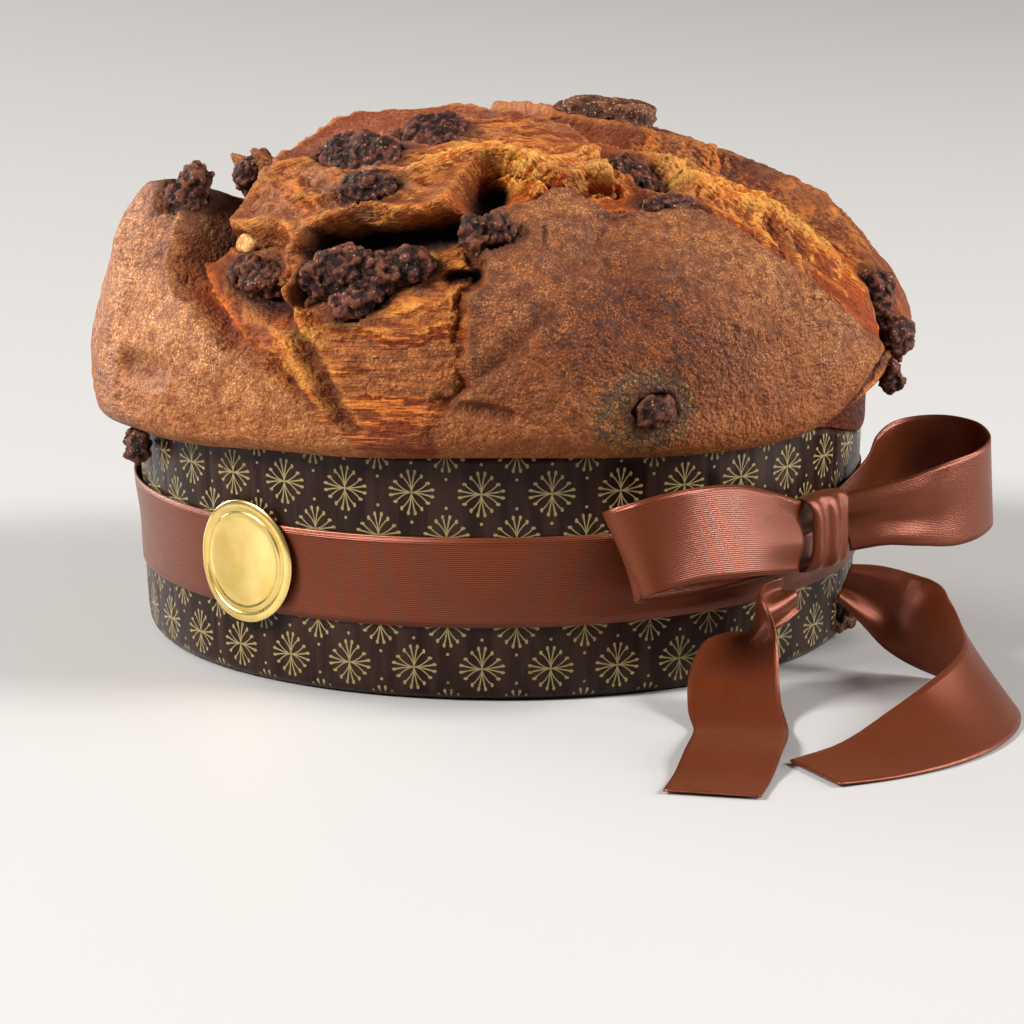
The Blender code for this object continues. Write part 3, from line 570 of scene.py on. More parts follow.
# Azimuth, elevation, reach and strength of each place that is baked darker
SCORCHED = (
    (-69, 31, 0.013, 1.0),
    (-65, 25, 0.009, 0.9),
    (-63, 20, 0.008, 0.7),
    (-58, 20, 0.007, 0.5),
    (-52, 12, 0.006, 0.3),
    (-45, 52, 0.012, 0.8),
    (-40, 38, 0.007, 0.5),
    (-36, 46, 0.006, 0.7),
    (-22, 52, 0.007, 0.7),
    (-52, 36, 0.006, 0.6),
    (-46, 29, 0.004, 0.5),
    (-12, 54, 0.006, 0.6),
    (-27, 39, 0.004, 0.6),
    (-20, 62, 0.014, 0.7),
    (-1, 26, 0.009, 0.6),
    (12, 26, 0.014, 0.5),
    (26, 19, 0.016, 0.30),
    (36, 8, 0.018, 0.20),
    (-78, 2, 0.010, 0.35),
    (80, 20, 0.012, 0.8),
    (84, 32, 0.013, 0.8),
    (86, 42, 0.010, 0.7),
    (96, 40, 0.014, 0.8),
    (102, 52, 0.018, 0.8),
    (90, 60, 0.012, 0.6),
    (120, 62, 0.020, 0.6),
    (92, 26, 0.014, 0.8),
)

# Azimuth, elevation, reach and change of each place where light or shade is painted on the skin,
# as a lighter or darker tone
PAINTED_LIGHT_AND_SHADE = (
    (18, 13, 0.020, -0.30),
    (28, 6, 0.018, -0.20),
    (6, 4, 0.016, -0.15),
    (46, 17, 0.018, 0.20),
    (54, 6, 0.014, 0.14),
    (12, 31, 0.012, 0.10),
    (-58, -6, 0.014, -0.14),
    (-74, 12, 0.022, 0.10),
)

# Azimuth, elevation, reach and strength of each place where the skin is glossy
GLOSSY = (
    (-76, 14, 0.030, 0.8),
    (-68, -2, 0.020, 0.9),
    (-48, 2, 0.012, 0.5),
    (28, 27, 0.016, 0.9),
    (44, 19, 0.018, 1.0),
    (50, 8, 0.018, 1.0),
    (10, 28, 0.010, 0.6),
    (-4, 14, 0.007, 0.6),
    (-25, 44, 0.014, 0.5),
    (66, 30, 0.014, 0.6),
)

# Azimuth, elevation, reach, slope of the strands, size across and along, their height, and how
# much brown skin is left between them
FIBRES = (
    (-18, 8, 0.026, 3, 0.0021, 0.018, 0.00055, 0.60),
    (-13, 22, 0.013, 12, 0.0021, 0.014, 0.00090, 0.20),
    (-42, 36, 0.022, 20, 0.0030, 0.017, 0.00115, 0.52),
    (-22, 36, 0.014, 14, 0.0028, 0.017, 0.00110, 0.30),
    (-14, 45, 0.014, 24, 0.0024, 0.014, 0.00110, 0.10),
    (6, 43, 0.012, -28, 0.0024, 0.014, 0.00110, 0.05),
    (24, 42, 0.014, -12, 0.0026, 0.015, 0.00130, 0.15),
    (0, 60, 0.026, 8, 0.0032, 0.017, 0.00110, 0.52),
    (54, 40, 0.018, -54, 0.0028, 0.026, 0.00200, 0.12),
    (64, 22, 0.018, -63, 0.0026, 0.026, 0.00200, 0.15),
    (76, 42, 0.020, -66, 0.0036, 0.022, 0.00260, 0.35),
    (82, 20, 0.016, -76, 0.0034, 0.020, 0.00240, 0.35),
    (-30, 8, 0.008, -50, 0.0020, 0.007, 0.00100, 0.10),
    (-60, 33, 0.012, 38, 0.0024, 0.014, 0.00100, 0.40),
    (-172, 30, 0.030, 70, 0.0030, 0.018, 0.00110, 0.40),
)

# How far each sheet is torn into strands instead of being whole skin
WEAR = {"left": 0.0, "right": 0.0, "dome": 0.85, "back": 0.75}

# Cloudy grey ring where chocolate has bled through the skin
STAIN_AZIMUTH = 20.0
STAIN_ELEVATION = -2.4
STAIN_INSIDE = 0.0085
STAIN_OUTSIDE = 0.0165
spots = (GOLDEN, SCORCHED, PAINTED_LIGHT_AND_SHADE, GLOSSY)
print("strands:", len(STRANDS), "creases:", len(CREASES), "spots:", sum(map(len, spots)))

# %% [markdown]
# Distances on a ball are measured on a flat chart that touches the ball near the thing measured.
# Near the middle of such a chart distances are true, which is all that a sheet's edge needs.

# %% Chart functions
def direction(azimuth, elevation):
    turn, rise = np.radians(azimuth), np.radians(elevation)
    return np.stack(
        [np.cos(rise) * np.sin(turn), -np.cos(rise) * np.cos(turn), np.sin(rise)], -1
    )


def elevation_of(where):
    return np.degrees(np.arcsin(np.clip(where[:, 2], -1, 1)))


def flattened(where, centre):
    """Places as metres across a plane that touches the crown at the centre."""
    across = unit(np.cross(centre, (0.0, 0.0, 1.0)))
    up = np.cross(across, centre)
    angle = np.arccos(np.clip(where @ centre, -1.0, 1.0))
    flat = np.stack([where @ across, where @ up], -1)
    length = np.maximum(np.linalg.norm(flat, axis=-1), 1e-9)
    return flat / length[..., None] * (angle * CHART_RADIUS)[..., None]


def chart_of(where, line):
    corners = direction(*np.array(line, float).T)
    centre = unit(corners.mean(axis=0))
    return flattened(where, centre), flattened(corners, centre)


def nearest_piece(flat, starts, ends):
    """Distance to the nearest of some straight pieces on a chart."""
    nearest = np.full(len(flat), np.inf)
    for start, end in zip(starts, ends):
        along = end - start
        share = np.clip(((flat - start) @ along) / (along @ along), 0.0, 1.0)
        offset = flat - start - share[:, None] * along
        nearest = np.minimum(nearest, np.linalg.norm(offset, axis=1))
    return nearest


def line_distance(where, line):
    """Distance to a line over the crown."""
    flat, points = chart_of(where, line)
    return nearest_piece(flat, points[:-1], points[1:])


def depth_inside(where, outline):
    """Distance inside a closed outline, negative outside it."""
    flat, starts = chart_of(where, outline)
    ends = np.roll(starts, -1, axis=0)
    inside = np.zeros(len(flat), bool)
    for start, end in zip(starts, ends):
        crosses = (start[1] > flat[:, 1]) != (end[1] > flat[:, 1])
        height = end[1] - start[1] if end[1] != start[1] else 1.0
        share = (flat[:, 1] - start[1]) / height
        inside ^= crosses & (flat[:, 0] < start[0] + share * (end[0] - start[0]))
    nearest = nearest_piece(flat, starts, ends)
    return np.where(inside, nearest, -nearest)


def around_spot(where, azimuth, elevation, reach):
    """Places round a spot, and a weight that is 1 there and fades over its reach."""
    flat = flattened(where, direction(azimuth, elevation))
    return flat, bell(np.linalg.norm(flat, axis=1), reach)


def strongest(where, spots, start):
    """The strongest of some spots at each point, and no less than the start."""
    for azimuth, elevation, reach, strength in spots:
        start = np.maximum(start, strength * around_spot(where, azimuth, elevation, reach)[1])
    return start


def crown_side(azimuth):
    table = np.array(CROWN_SIDES, float)
    turn = turn_from(0, azimuth)
    before = np.clip(np.searchsorted(table[:, 0], turn, side="right") - 1, 0, len(table) - 2)
    share = smooth((turn - table[before, 0]) / (table[before + 1, 0] - table[before, 0]))
    mixed = table[before, 1:] * (1 - share)[..., None] + table[before + 1, 1:] * share[..., None]
    return np.moveaxis(mixed, -1, 0)


def lip_elevation(azimuth):
    """Where the crown's underside comes near the case's wall."""
    widest, height, _, lip, power = crown_side(azimuth)
    radius = SLOT_RADIUS + 5 * GAP
    drop = (height - lip) / LIP_FLATNESS * (1 - (radius / widest) ** power) ** (1 / power)
    return -np.degrees(np.arctan2(drop, radius))


print("lip elevations:", np.round(lip_elevation(np.array([-90.0, 0.0, 90.0])), 1))

# %% [markdown]
# The ball is an ico sphere, whose points are spread evenly. It is bisected a little below its
# middle, where the crown's lip will be. The faces at the front are subdivided once, and those near
# a torn edge or an open hollow once more, so the detail goes where the eye looks. Subdividing in
# edit mode keeps the mesh closed where coarse and fine faces meet.

# %% Cut the ball to the crown and refine it
BALL_ROUNDS = 7
LIP_CUT = -12.0
# Widest azimuth, and lowest and highest sine of the elevation, of the fine and the finest faces
FINE_FRONT = (98.0, -1.0, 0.97)
FINEST_EDGES = (80.0, 0.0, 0.85)
FINE_BAND = 0.0042
OPEN_HOLLOWS = HOLLOWS[:4]


def subdivide_faces(piece, wanted):
    """The faces are chosen again in face mode, since a change of mode changes the selection."""
    take(piece)
    mesh = piece.data
    mesh.vertices.foreach_set("select", np.zeros(len(mesh.vertices), bool))
    mesh.edges.foreach_set("select", np.zeros(len(mesh.edges), bool))
    mesh.polygons.foreach_set("select", np.asarray(wanted, bool))
    bpy.ops.object.mode_set(mode="EDIT")
    bpy.ops.mesh.select_mode(type="FACE")
    stop_editing()
    mesh.polygons.foreach_set("select", np.asarray(wanted, bool))
    bpy.ops.object.mode_set(mode="EDIT")
    bpy.ops.mesh.subdivide(number_cuts=1)
    stop_editing()


def face_places(piece, span):
    """Direction of each face's middle, and whether it lies in the span."""
    where = unit(read(piece.data.polygons, "center", 3))
    widest, low, high = span
    return where, (np.abs(azimuth_of(where)) < widest) & (where[:, 2] > low) & (where[:, 2] < high)


def start_crown():
    deselect_all()
    bpy.ops.mesh.primitive_ico_sphere_add(subdivisions=BALL_ROUNDS, radius=1.0)
    ball = bpy.context.object
    ball.name = "crust"
    start_editing(ball)
    cut = math.sin(math.radians(LIP_CUT))
    bpy.ops.mesh.bisect(plane_co=(0, 0, cut), plane_no=(0, 0, 1), clear_inner=True)
    stop_editing()
    subdivide_faces(ball, face_places(ball, FINE_FRONT)[1])
    where, in_span = face_places(ball, FINEST_EDGES)
    depths = [depth_inside(where, outline) for _, _, outline in SKINS.values()]
    torn = np.abs(np.max(depths, axis=0)) < FINE_BAND
    for _, half_width, _, _, line in OPEN_HOLLOWS:
        torn |= line_distance(where, line) < half_width * 0.9
    subdivide_faces(ball, torn & in_span)
    return ball


crust = start_crown()
print("crown mesh:", len(crust.data.vertices), "points", len(crust.data.polygons), "faces")

# %% [markdown]
# Now the rule itself. A sheet stands over the torn dough with a rolled edge and a crevice at its
# foot, darkened by painted shade. Strands are fibres: noise that is long one way and short the
# other. Every effect is a number of metres, outwards or upwards, and the same numbers also become
# masks for the colours, among them a mask of painted shade for the crevices, creases and hollows.

# %% The crown's relief and its colour masks
EDGE_WIDTH = 0.0026
EDGE_WOBBLE = 0.0013
TONE_OVERHANG = 0.004
BARE_TONE = 0.3

# Effects along a sheet's edge: strength, how far inside the edge, and half width
EDGE_ROLL = (0.0009, 0.0024, 0.0015)
EDGE_CREVICE = (-0.0016, -0.0009, 0.0009)
EDGE_SHADE = (0.62, -0.0004, 0.0008)
EDGE_RIM = (1.0, -0.0024, 0.0014)
EDGE_SCORCH = (0.35, 0.0030, 0.0022)

# Heights of what stands up along the rim, on scorched dough and where skin is left on fibres
RIM_CRESTS = 0.0008
SCORCH_CRAGS = 0.0024
LEFT_SKIN = 0.0004

# Height, size and seed of each unevenness: of bare dough, worn sheets, whole skin and everything
BARE_GRAIN = (0.00040, 0.0024, 3)
WORN_GRAIN = (0.00110, 0.0065, 14)
SKIN_GRAIN = (0.00032, 0.0032, 6)
BROAD_GRAIN = (0.0010, 0.020, 4)
SMALL_GRAIN = (0.00045, 0.0075, 5)

# How far fibres bend over a long and a short way, as height, size and seed
FIBRE_BENDS = ((0.0032, 0.014, 30), (0.0008, 0.005, 50))
# Strength, fineness and seed of the crests that make up fibres
FIBRE_CRESTS = ((1.0, 1.0, 40), (0.5, 2.2, 41), (1.1, 0.45, 43))
CREST_LEVEL = 0.85
# Strands steeper than this read the first or the last of the crust's strand noises
STEEP_SLOPE = 11


def uneven(place, grain_of):
    height, size, seed = grain_of
    return height * grain(place, size, seed)


def at_edge(depth, effect):
    strength, inside, half_width = effect
    return strength * bell(depth - inside, half_width)


def fibre_relief(where, place):
    """Height of the fibres, their crests, what skin is left on them, and which way they slope."""
    sums = np.zeros((3, len(where)))
    weights = np.full(len(where), 0.10)
    slopes = np.zeros((len(where), 3))
    for seed, (azimuth, elevation, reach, slope, wide, long, height, left) in enumerate(FIBRES):
        flat, weight = around_spot(where, azimuth, elevation, reach)
        weights += weight
        slopes[:, 0 if slope > STEEP_SLOPE else 2 if slope < -STEEP_SLOPE else 1] += weight
        near = weight > 0.02
        turn = math.radians(slope)
        along = flat[near] @ (math.cos(turn), math.sin(turn))
        across = flat[near] @ (-math.sin(turn), math.cos(turn))
        for bend, size, first_seed in FIBRE_BENDS:
            across += uneven(place[near], (bend, size, first_seed + seed))
        stretched = np.stack([along / long, across / wide, np.full(len(along), seed)], -1)
        crest = -CREST_LEVEL
        for strength, fineness, crest_seed in FIBRE_CRESTS:
            crest = crest + strength * crests(stretched * fineness, 1.0, crest_seed)
        patch = smooth((grain(stretched * 0.40, 1.0, 42) + left - 0.42) / 0.22)
        for total, value in zip(sums, (height * crest, 0.5 + 0.5 * crest, patch)):
            total[near] += weight[near] * value
    heights, crest_share, left_share = sums
    heights = heights / np.maximum(weights, 1.0)
    return heights, crest_share / weights, left_share / weights, slopes / weights[:, None]


def sheet_cover(where, wobble):
    """Depth inside the nearest sheet, how light its skin is baked with painted light and shade added,
    and how far it is torn to strands.
    """
    deepest = np.full(len(where), -1.0)
    light = np.full(len(where), BARE_TONE)
    wear = np.zeros(len(where))
    for name, (tone, edge, outline) in SKINS.items():
        depth = depth_inside(where, outline) + wobble
        depth = np.where(depth > 0, depth * EDGE_WIDTH / edge, depth)
        light = np.where((depth > deepest) & (depth > -TONE_OVERHANG), tone, light)
        wear = np.where(depth > deepest, WEAR[name], wear)
        deepest = np.maximum(deepest, depth)
    # Painted light and shade: listed places where the skin is made lighter or darker
    for azimuth, elevation, reach, change in PAINTED_LIGHT_AND_SHADE:
        light = light + change * around_spot(where, azimuth, elevation, reach)[1]
    return deepest, np.clip(light, 0.0, 1.0), wear


def swelling_relief(where, wobble):
    total = np.zeros(len(where))
    for sheet, azimuth, elevation, rise, across, up in SWELLINGS:
        flat = flattened(where, direction(azimuth, elevation))
        cover = smooth((depth_inside(where, SKINS[sheet][2]) + wobble) / EDGE_WIDTH)
        total += rise * bell(flat[:, 0], across) * bell(flat[:, 1], up) * cover
    return total


def stain_mask(where, place):
    flat = flattened(where, direction(STAIN_AZIMUTH, STAIN_ELEVATION))
    ring = np.linalg.norm(flat, axis=1) + uneven(place, (0.0015, 0.005, 9))
    return smooth((STAIN_OUTSIDE - ring) / 0.004) * (0.35 + 0.65 * smooth(ring / STAIN_INSIDE))


def crown_relief(where):
    """Outward and upward moves of each point, masks for the material, and slopes of the strands."""
    place = where * CHART_RADIUS
    wobble = EDGE_WOBBLE * (grain(place, 0.007, 1) + 0.5 * grain(place, 0.0026, 2))
    deepest, light, wear = sheet_cover(where, wobble)
    fibres, crest, left, slopes = fibre_relief(where, place)
    skin = smooth(deepest / EDGE_WIDTH)
    torn = smooth((elevation_of(where) - TORN_FROM) / (TORN_FULL - TORN_FROM))
    rim = torn * at_edge(deepest, EDGE_RIM)
    broken = smooth((grain(place, 0.012, 10) + 0.45) / 0.6)
    # Painted shade at the foot of torn sheet edges, broken up by noise
    dark = torn * broken * at_edge(deepest, EDGE_SHADE)
    scorch = strongest(where, SCORCHED, torn * at_edge(deepest, EDGE_SCORCH))
    whole = skin * (1 - wear)
    bare = 1 - whole
    remnant = left * bare
    out = torn * (at_edge(deepest, EDGE_ROLL) + at_edge(deepest, EDGE_CREVICE))
    out -= TORN_DEPTH * torn * (1 - skin)
    out += RIM_CRESTS * rim * crests(place, 0.0022, 12)
    out += SCORCH_CRAGS * scorch * bare * (crests(place, 0.0090, 15) - 0.3)
    out += fibres * bare * (0.25 + 0.75 * torn) + LEFT_SKIN * remnant
    out += swelling_relief(where, wobble)
    out += bare * uneven(place, BARE_GRAIN) + wear * uneven(place, WORN_GRAIN)
    out += whole * uneven(place, SKIN_GRAIN)
    out += uneven(place, BROAD_GRAIN) + uneven(place, SMALL_GRAIN)
    skin = np.clip(whole + 0.85 * remnant, 0.0, 1.0)
    gold = 0.7 * rim
    line_wobble = uneven(place, (0.0006, 0.004, 7))
    for height, half_width, golden, line in STRANDS:
        far = line_distance(where, line) + line_wobble
        ridge = bell(far, half_width)
        out += height * ridge
        gold = np.maximum(gold, golden * ridge)
        skin = skin * (1 - 0.8 * golden * bell(far, half_width, 4))
    # Creases are grooves, with painted shade laid along them
    for depth, half_width, shade, line in CREASES:
        groove = bell(line_distance(where, line) + line_wobble, half_width)
        out -= depth * groove
        dark = np.maximum(dark, shade * groove)
    lift = np.zeros(len(where))
    surface = out.copy()
    hollow_wobble = uneven(place, (0.0007, 0.005, 8))
    # Hollows are dug out, with painted shade laid in their bowls
    for depth, half_width, push, shade, line in HOLLOWS:
        far = line_distance(where, line) + hollow_wobble
        bowl = np.clip(1 - (far / half_width) ** 2, 0.0, 1.0) ** 1.5
        out -= depth * bowl
        lift += push * bowl
        dark = np.maximum(dark, shade * smooth(bowl * 1.5))
    # A flap that bridges a hollow carries less of the painted shade
    for rise, half_width, line in BRIDGES:
        far = line_distance(where, line) + uneven(place, (0.0004, 0.003, 13))
        held = bell(far, half_width, 4)
        out = out * (1 - held) + (surface + rise) * held
        dark = dark * (1 - 0.8 * held)
    masks = {
        "skin": skin,
        "gold": strongest(where, GOLDEN, gold),
        "dark": dark,
        "scorch": scorch,
        "stain": stain_mask(where, place),
        # Baked lightness of the skin, with painted light and shade added
        "light": light,
        "crest": np.clip(crest, 0.0, 1.0),
        "gloss": strongest(where, GLOSSY, np.zeros(len(where))),
    }
    return out, lift, masks, slopes


def crown_places(where, out, lift):
    """Outward directions and places of the crown's points, from their relief."""
    azimuth = azimuth_of(where)
    elevation = elevation_of(where)
    lowest = lip_elevation(azimuth)
    elevation = np.where(elevation < 0, elevation * lowest / LIP_CUT, elevation)
    widest, height, square, lip, square_below = crown_side(azimuth)
    cosine, sine = np.cos(np.radians(elevation)), np.sin(np.radians(elevation))
    reach = np.where(sine >= 0, CROWN_TOP - height, (height - lip) / LIP_FLATNESS)
    power = np.where(sine >= 0, square, square_below)
    radius = ((np.abs(cosine) / widest) ** power + (np.abs(sine) / reach) ** power) ** (-1 / power)
    radius = radius + out * smooth((elevation - lowest) / LIP_FADE)
    outward = direction(azimuth, elevation)
    upward = direction(azimuth, elevation + 90.0)
    middle = np.stack([np.zeros_like(height), np.zeros_like(height), height], -1)
    return outward, middle + radius[:, None] * outward + lift[:, None] * upward


where = unit(points_of(crust))
out, lift, masks, slopes = crown_relief(where)
outward, crown_points = crown_places(where, out, lift)
print("relief from", round(out.min() * 1000, 1), "to", round(out.max() * 1000, 1), "mm")

# %% [markdown]
# The lumps of chocolate were baked in, so the crust dips under each of them and is stained beside
# it. Each lump's solid is searched as a tree of faces: a ray from inside the loaf finds the lump's
# underside, and the crust is pressed down to there.

# %% Press the crust down under the lumps
POCKET_CLEARANCE = 0.0004
POCKET_RAY = 0.030
COCOA_REACH = 0.0034
lump_names = sorted(n for n in nodes if n.startswith("chocolate") or n == "nut_piece")


def press_pockets(points, outward):
    """Crust points moved under the lumps, and how near each point is to chocolate."""
    pressed = points.copy()
    nearness = np.zeros(len(points))
    for name in lump_names:
        mesh = nodes[name].data
        tree = BVHTree.FromPolygons(
            [v.co for v in mesh.vertices], [tuple(p.vertices) for p in mesh.polygons]
        )
        low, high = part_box(name)
        centre = np.array((low + high) / 2)
        reach = (high - low).length / 2 + 2 * COCOA_REACH
        for i in np.flatnonzero(np.linalg.norm(points - centre, axis=1) < reach):
            ray, here = Vector(outward[i]), Vector(points[i])
            hit, _, _, far = tree.ray_cast(here - ray * POCKET_RAY, ray)
            if hit is not None and far < POCKET_RAY:
                pressed[i] = hit - ray * POCKET_CLEARANCE
                nearness[i] = 1.0
            elif name != "nut_piece":
                gap = tree.find_nearest(here)[3]
                nearness[i] = max(nearness[i], math.exp(-((gap / COCOA_REACH) ** 2)))
    return pressed, nearness


crown_points, masks["cocoa"] = press_pockets(crown_points, outward)
set_points(crust, crown_points)
print("points pressed under lumps:", int((masks["cocoa"] == 1).sum()))

# %% [markdown]
# Below the lip the loaf goes on inside the case. The open edge of the crown is extruded ring by
# ring: up behind the lip, over the rim of the paper, down the inside of the wall and in along the
# bottom, and a last face closes it. Only the first ring can be seen, as the shade under the lip.
# The masks are stored before that, for the crown's own points.

# %% Extrude the loaf down into its case
def rim_height(azimuth):
    return CASE_HEIGHT - RIM_DIP * bell(turn_from(RIM_DIP_AZIMUTH, azimuth), RIM_DIP_REACH)


def case_radius(height):
    return CASE_FOOT + (CASE_RIM - CASE_FOOT) * np.asarray(height) / CASE_HEIGHT


def start_on_open_edge(piece):
    start_editing(piece, action="DESELECT")
    bpy.ops.mesh.select_non_manifold()


def extrude_open_edge(piece, place):
    """Extrudes the open edge once and moves each new point to place(azimuth, height)."""
    start_on_open_edge(piece)
    bpy.ops.mesh.extrude_edges_indiv()
    stop_editing()
    points = points_of(piece)
    chosen = read(piece.data.vertices, "select", kind=bool)
    points[chosen] = place(azimuth_of(points[chosen]), points[chosen, 2])
    set_points(piece, points)


def turn_outwards(piece):
    """Makes all faces look out of the piece."""
    start_editing(piece)
    bpy.ops.mesh.normals_make_consistent(inside=False)
    stop_editing()


def close_open_edge(piece):
    start_on_open_edge(piece)
    bpy.ops.mesh.edge_face_add()
    stop_editing()
    turn_outwards(piece)


masks["raised"] = raised_parts(crust, 5, 0.00050)
for name, values in masks.items():
    add_mask(crust, name, values)
slope_mix = crust.data.attributes.new("slopes", "FLOAT_VECTOR", "POINT")
slope_mix.data.foreach_set("vector", slopes.astype(np.float32).ravel())

inner = CASE_WALL + 1.8 * GAP
for place in (
    lambda turn, z: on_ring(turn, SLOT_RADIUS + GAP, z + 2 * GAP),
    lambda turn, z: on_ring(turn, SLOT_RADIUS, rim_height(turn) + GAP),
    lambda turn, z: on_ring(turn, case_radius(z) - inner, rim_height(turn) + GAP),
    lambda turn, z: on_ring(turn, case_radius(CASE_CORNER) - inner, CASE_CORNER + GAP),
    lambda turn, z: on_ring(turn, CASE_FOOT - CASE_CORNER - inner, CASE_WALL + GAP),
):
    extrude_open_edge(crust, place)
close_open_edge(crust)
finish_piece(crust, "crust", "bread")
print("loaf:", len(crust.data.vertices), "points")

# %% [markdown]
# The crust's colour is layered: mostly as baking made it, with painted light and shade on top. Torn
# dough is golden, with paler strands. Skin lies over it, brown, finely speckled with gold and with a
# plum tint where it baked hardest, and its lightness also holds painted light and shade in listed
# places. What stands up on bare dough gets a painted highlight, and pits everywhere get painted
# shade. Then come the scorched places, the cloudy stain, the cocoa beside the chocolate and the
# painted shade of the hollows, creases and torn edges. Roughness and bump read the same grains, and
# glossy places also have fine level wrinkles, so gloss and colour belong together.

# %% Material of the crust
# Two places that the strands run between, for strands that rise to the right, level and fall
STRAND_RUNS = (
    ((-40, 33), (-6, 49)),
    ((-30, 8), (-8, 9)),
    ((46, 42), (68, 16)),
)
STRAND_SIZE = (0.0130, 0.0009, 0.0009)
LEVEL_WRINKLES = (1.0, 1.0, 3.5)


def strand_noise(tree, place):
    """Fine long strands in three directions, mixed by the slopes that the relief stored."""
    total = None
    for (start, end), share in zip(STRAND_RUNS, parts_of(attribute(tree, "slopes", "Vector"))):
        run = Vector(direction(*end)) - Vector(direction(*start))
        turned = run.to_track_quat("X", "Z").to_euler()
        inputs = {"Vector": place, "Rotation": turned, "Scale": STRAND_SIZE}
        strip = add_node(tree, "ShaderNodeMapping", inputs, vector_type="TEXTURE")
        value = times(noise_value(strip.outputs["Vector"], 1.0, 3.0, 0.6), share)
        total = value if total is None else plus(total, value)
    return total


def build_crust_material():
    made, tree, shader = new_material("baked_crust", Specular_IOR_Level=0.22)
    place = object_place(tree)
    fine, coarse = two_grains(place, 1050.0)
    mottle = noise_value(place, 330.0, 5.0, 0.65)
    pebble = cell_value(place, 760.0)
    grit = noise_value(place, 1900.0, 2.0, 0.6)
    patch = noise_value(place, 45.0, 4.0, 0.65)
    strand = strand_noise(tree, place)
    light, gold, cover, raised, glossy = (
        attribute(tree, name) for name in ("light", "gold", "skin", "raised", "gloss")
    )
    bare = minus(1.0, cover)

    # The skin's lightness mixes its baked tone with the painted light and shade of listed places
    brown = blend(light, screen(56, 20, 3), screen(142, 80, 40))
    ochre = blend(light, screen(92, 38, 6), screen(188, 116, 60))
    peach = blend(light, screen(178, 100, 32), screen(255, 212, 154))
    specks = times(fade(grit, 0.50, 0.66), fade(mottle, 0.30, 0.60))
    skin = blend(fade(mottle, 0.34, 0.64), brown, ochre)
    skin = blend(times(specks, 0.80), skin, peach)
    skin = coat(skin, fade(coarse, 0.46, 0.66), 0.40, (80, 34, 18))
    low = fade(parts_of(place)["Z"], 0.098, 0.070)
    warm = math_node("MAXIMUM", fade(patch, 0.48, 0.66), low)
    skin = coat(skin, warm, 0.45, (140, 70, 18))

    deep = blend(gold, screen(118, 46, 10), screen(208, 94, 16))
    pale = blend(gold, screen(222, 122, 46), screen(255, 192, 90))
    crested = times_plus(attribute(tree, "crest"), 0.34, strand)
    dough = blend(fade(crested, 0.54, 0.76), deep, pale)
    dough = coat(dough, fade(patch, 0.50, 0.68), 0.45, (122, 56, 16))

    colour = blend(cover, dough, skin)
    # Painted light and shade from the relief: a painted highlight on the crests of bare dough, painted
    # shade in the pits
    colour = coat(colour, times(fade(raised, 0.25, 1.0), bare), 0.35, (252, 160, 70))
    colour = coat(colour, fade(raised, -0.20, -1.0), 0.60, (98, 34, 8))
    scorched = times(attribute(tree, "scorch"), fade(coarse, 0.25, 0.60))
    colour = coat(colour, scorched, 0.85, (72, 38, 30))
    stained = times(attribute(tree, "stain"), fade(mottle, 0.66, 0.46))
    cloudy = blend(specks, screen(64, 45, 32), screen(176, 130, 60))
    colour = blend(times(stained, 0.86), colour, cloudy)
    cocoa = times(attribute(tree, "cocoa"), fade(coarse, 0.22, 0.50))
    colour = coat(colour, cocoa, 0.9, (60, 28, 16))
    # Painted shade of the hollows, creases and torn edges
    colour = blend(attribute(tree, "dark"), colour, screen(40, 13, 6))

    gloss = times(times_plus(bare, 0.15, glossy), fade(patch, 0.30, 0.52))
    gloss = times(gloss, fade(grit, 0.36, 0.58))
    tall = plus(times_plus(coarse, 1.6, times(fine, 0.6)), times(times(pebble, pebble), -0.55))
    tall = times_plus(mottle, 0.8, tall)
    tall = times_plus(times(strand, minus(1.1, cover)), 4.2, tall)
    wrinkle = noise_value(scaled(place, LEVEL_WRINKLES), 170.0, 3.0)
    tall = times_plus(times(wrinkle, glossy), 3.2, tall)
    feed(
        shader, Base_Color=colour, Roughness=ramp(gloss, 0.62, 0.22), Normal=bump(tall, 1.0, 0.0010)
    )
    return made


crust.data.materials.clear()
crust.data.materials.append(build_crust_material())
print("crust material nodes:", len(crust.data.materials[0].node_tree.nodes))

# %% [markdown]
# Chocolate that has been through the oven is dull, cracked and dusted with pale crumbs. Each lump
# starts as a copy of its solid: the doubles are merged, a subdivision rounds the facets, and a
# remesh makes the points even. Four displacements then roughen it: an uneven mass, cells like
# broken cake, crags and fine crumb. What stands out of its surroundings is stored as a mask, so
# that the crests can get painted light and the cracks painted shade.

# %% Shape the lumps
MERGE_DISTANCE = 0.00002
LUMP_VOXEL = 0.00045
CRAG_SHARE = 0.35

# Strengths of the uneven mass, the broken cells and the fine crumb
COMMON_LUMP = (0.0036, 0.0018, 0.0022)
FLAT_LUMP = (0.0022, 0.0014, 0.0022)
LUMP_FORMS = {
    "nut_piece": (0.0010, 0.0008, 0.0005),
    "chocolate_dome": FLAT_LUMP,
    "chocolate_flat_left": FLAT_LUMP,
    "chocolate_flat_right": FLAT_LUMP,
    "chocolate_stain": (0.0014, 0.0016, 0.0018),
    "chocolate_block": (0.0008, 0.0012, 0.0010),
}


def add_texture(name, kind, size, **settings):
    made = bpy.data.textures.new(name, kind)
    made.noise_scale = size
    for setting, value in settings.items():
        setattr(made, setting, value)
    return made


uneven_mass = add_texture("uneven_mass", "CLOUDS", 0.0060)
broken_cells = add_texture("broken_cells", "VORONOI", 0.0042)
crags = add_texture(
    "crags", "MUSGRAVE", 0.0050, musgrave_type="RIDGED_MULTIFRACTAL", octaves=3.0
)
fine_crumb = add_texture("fine_crumb", "CLOUDS", 0.0020, noise_depth=3)


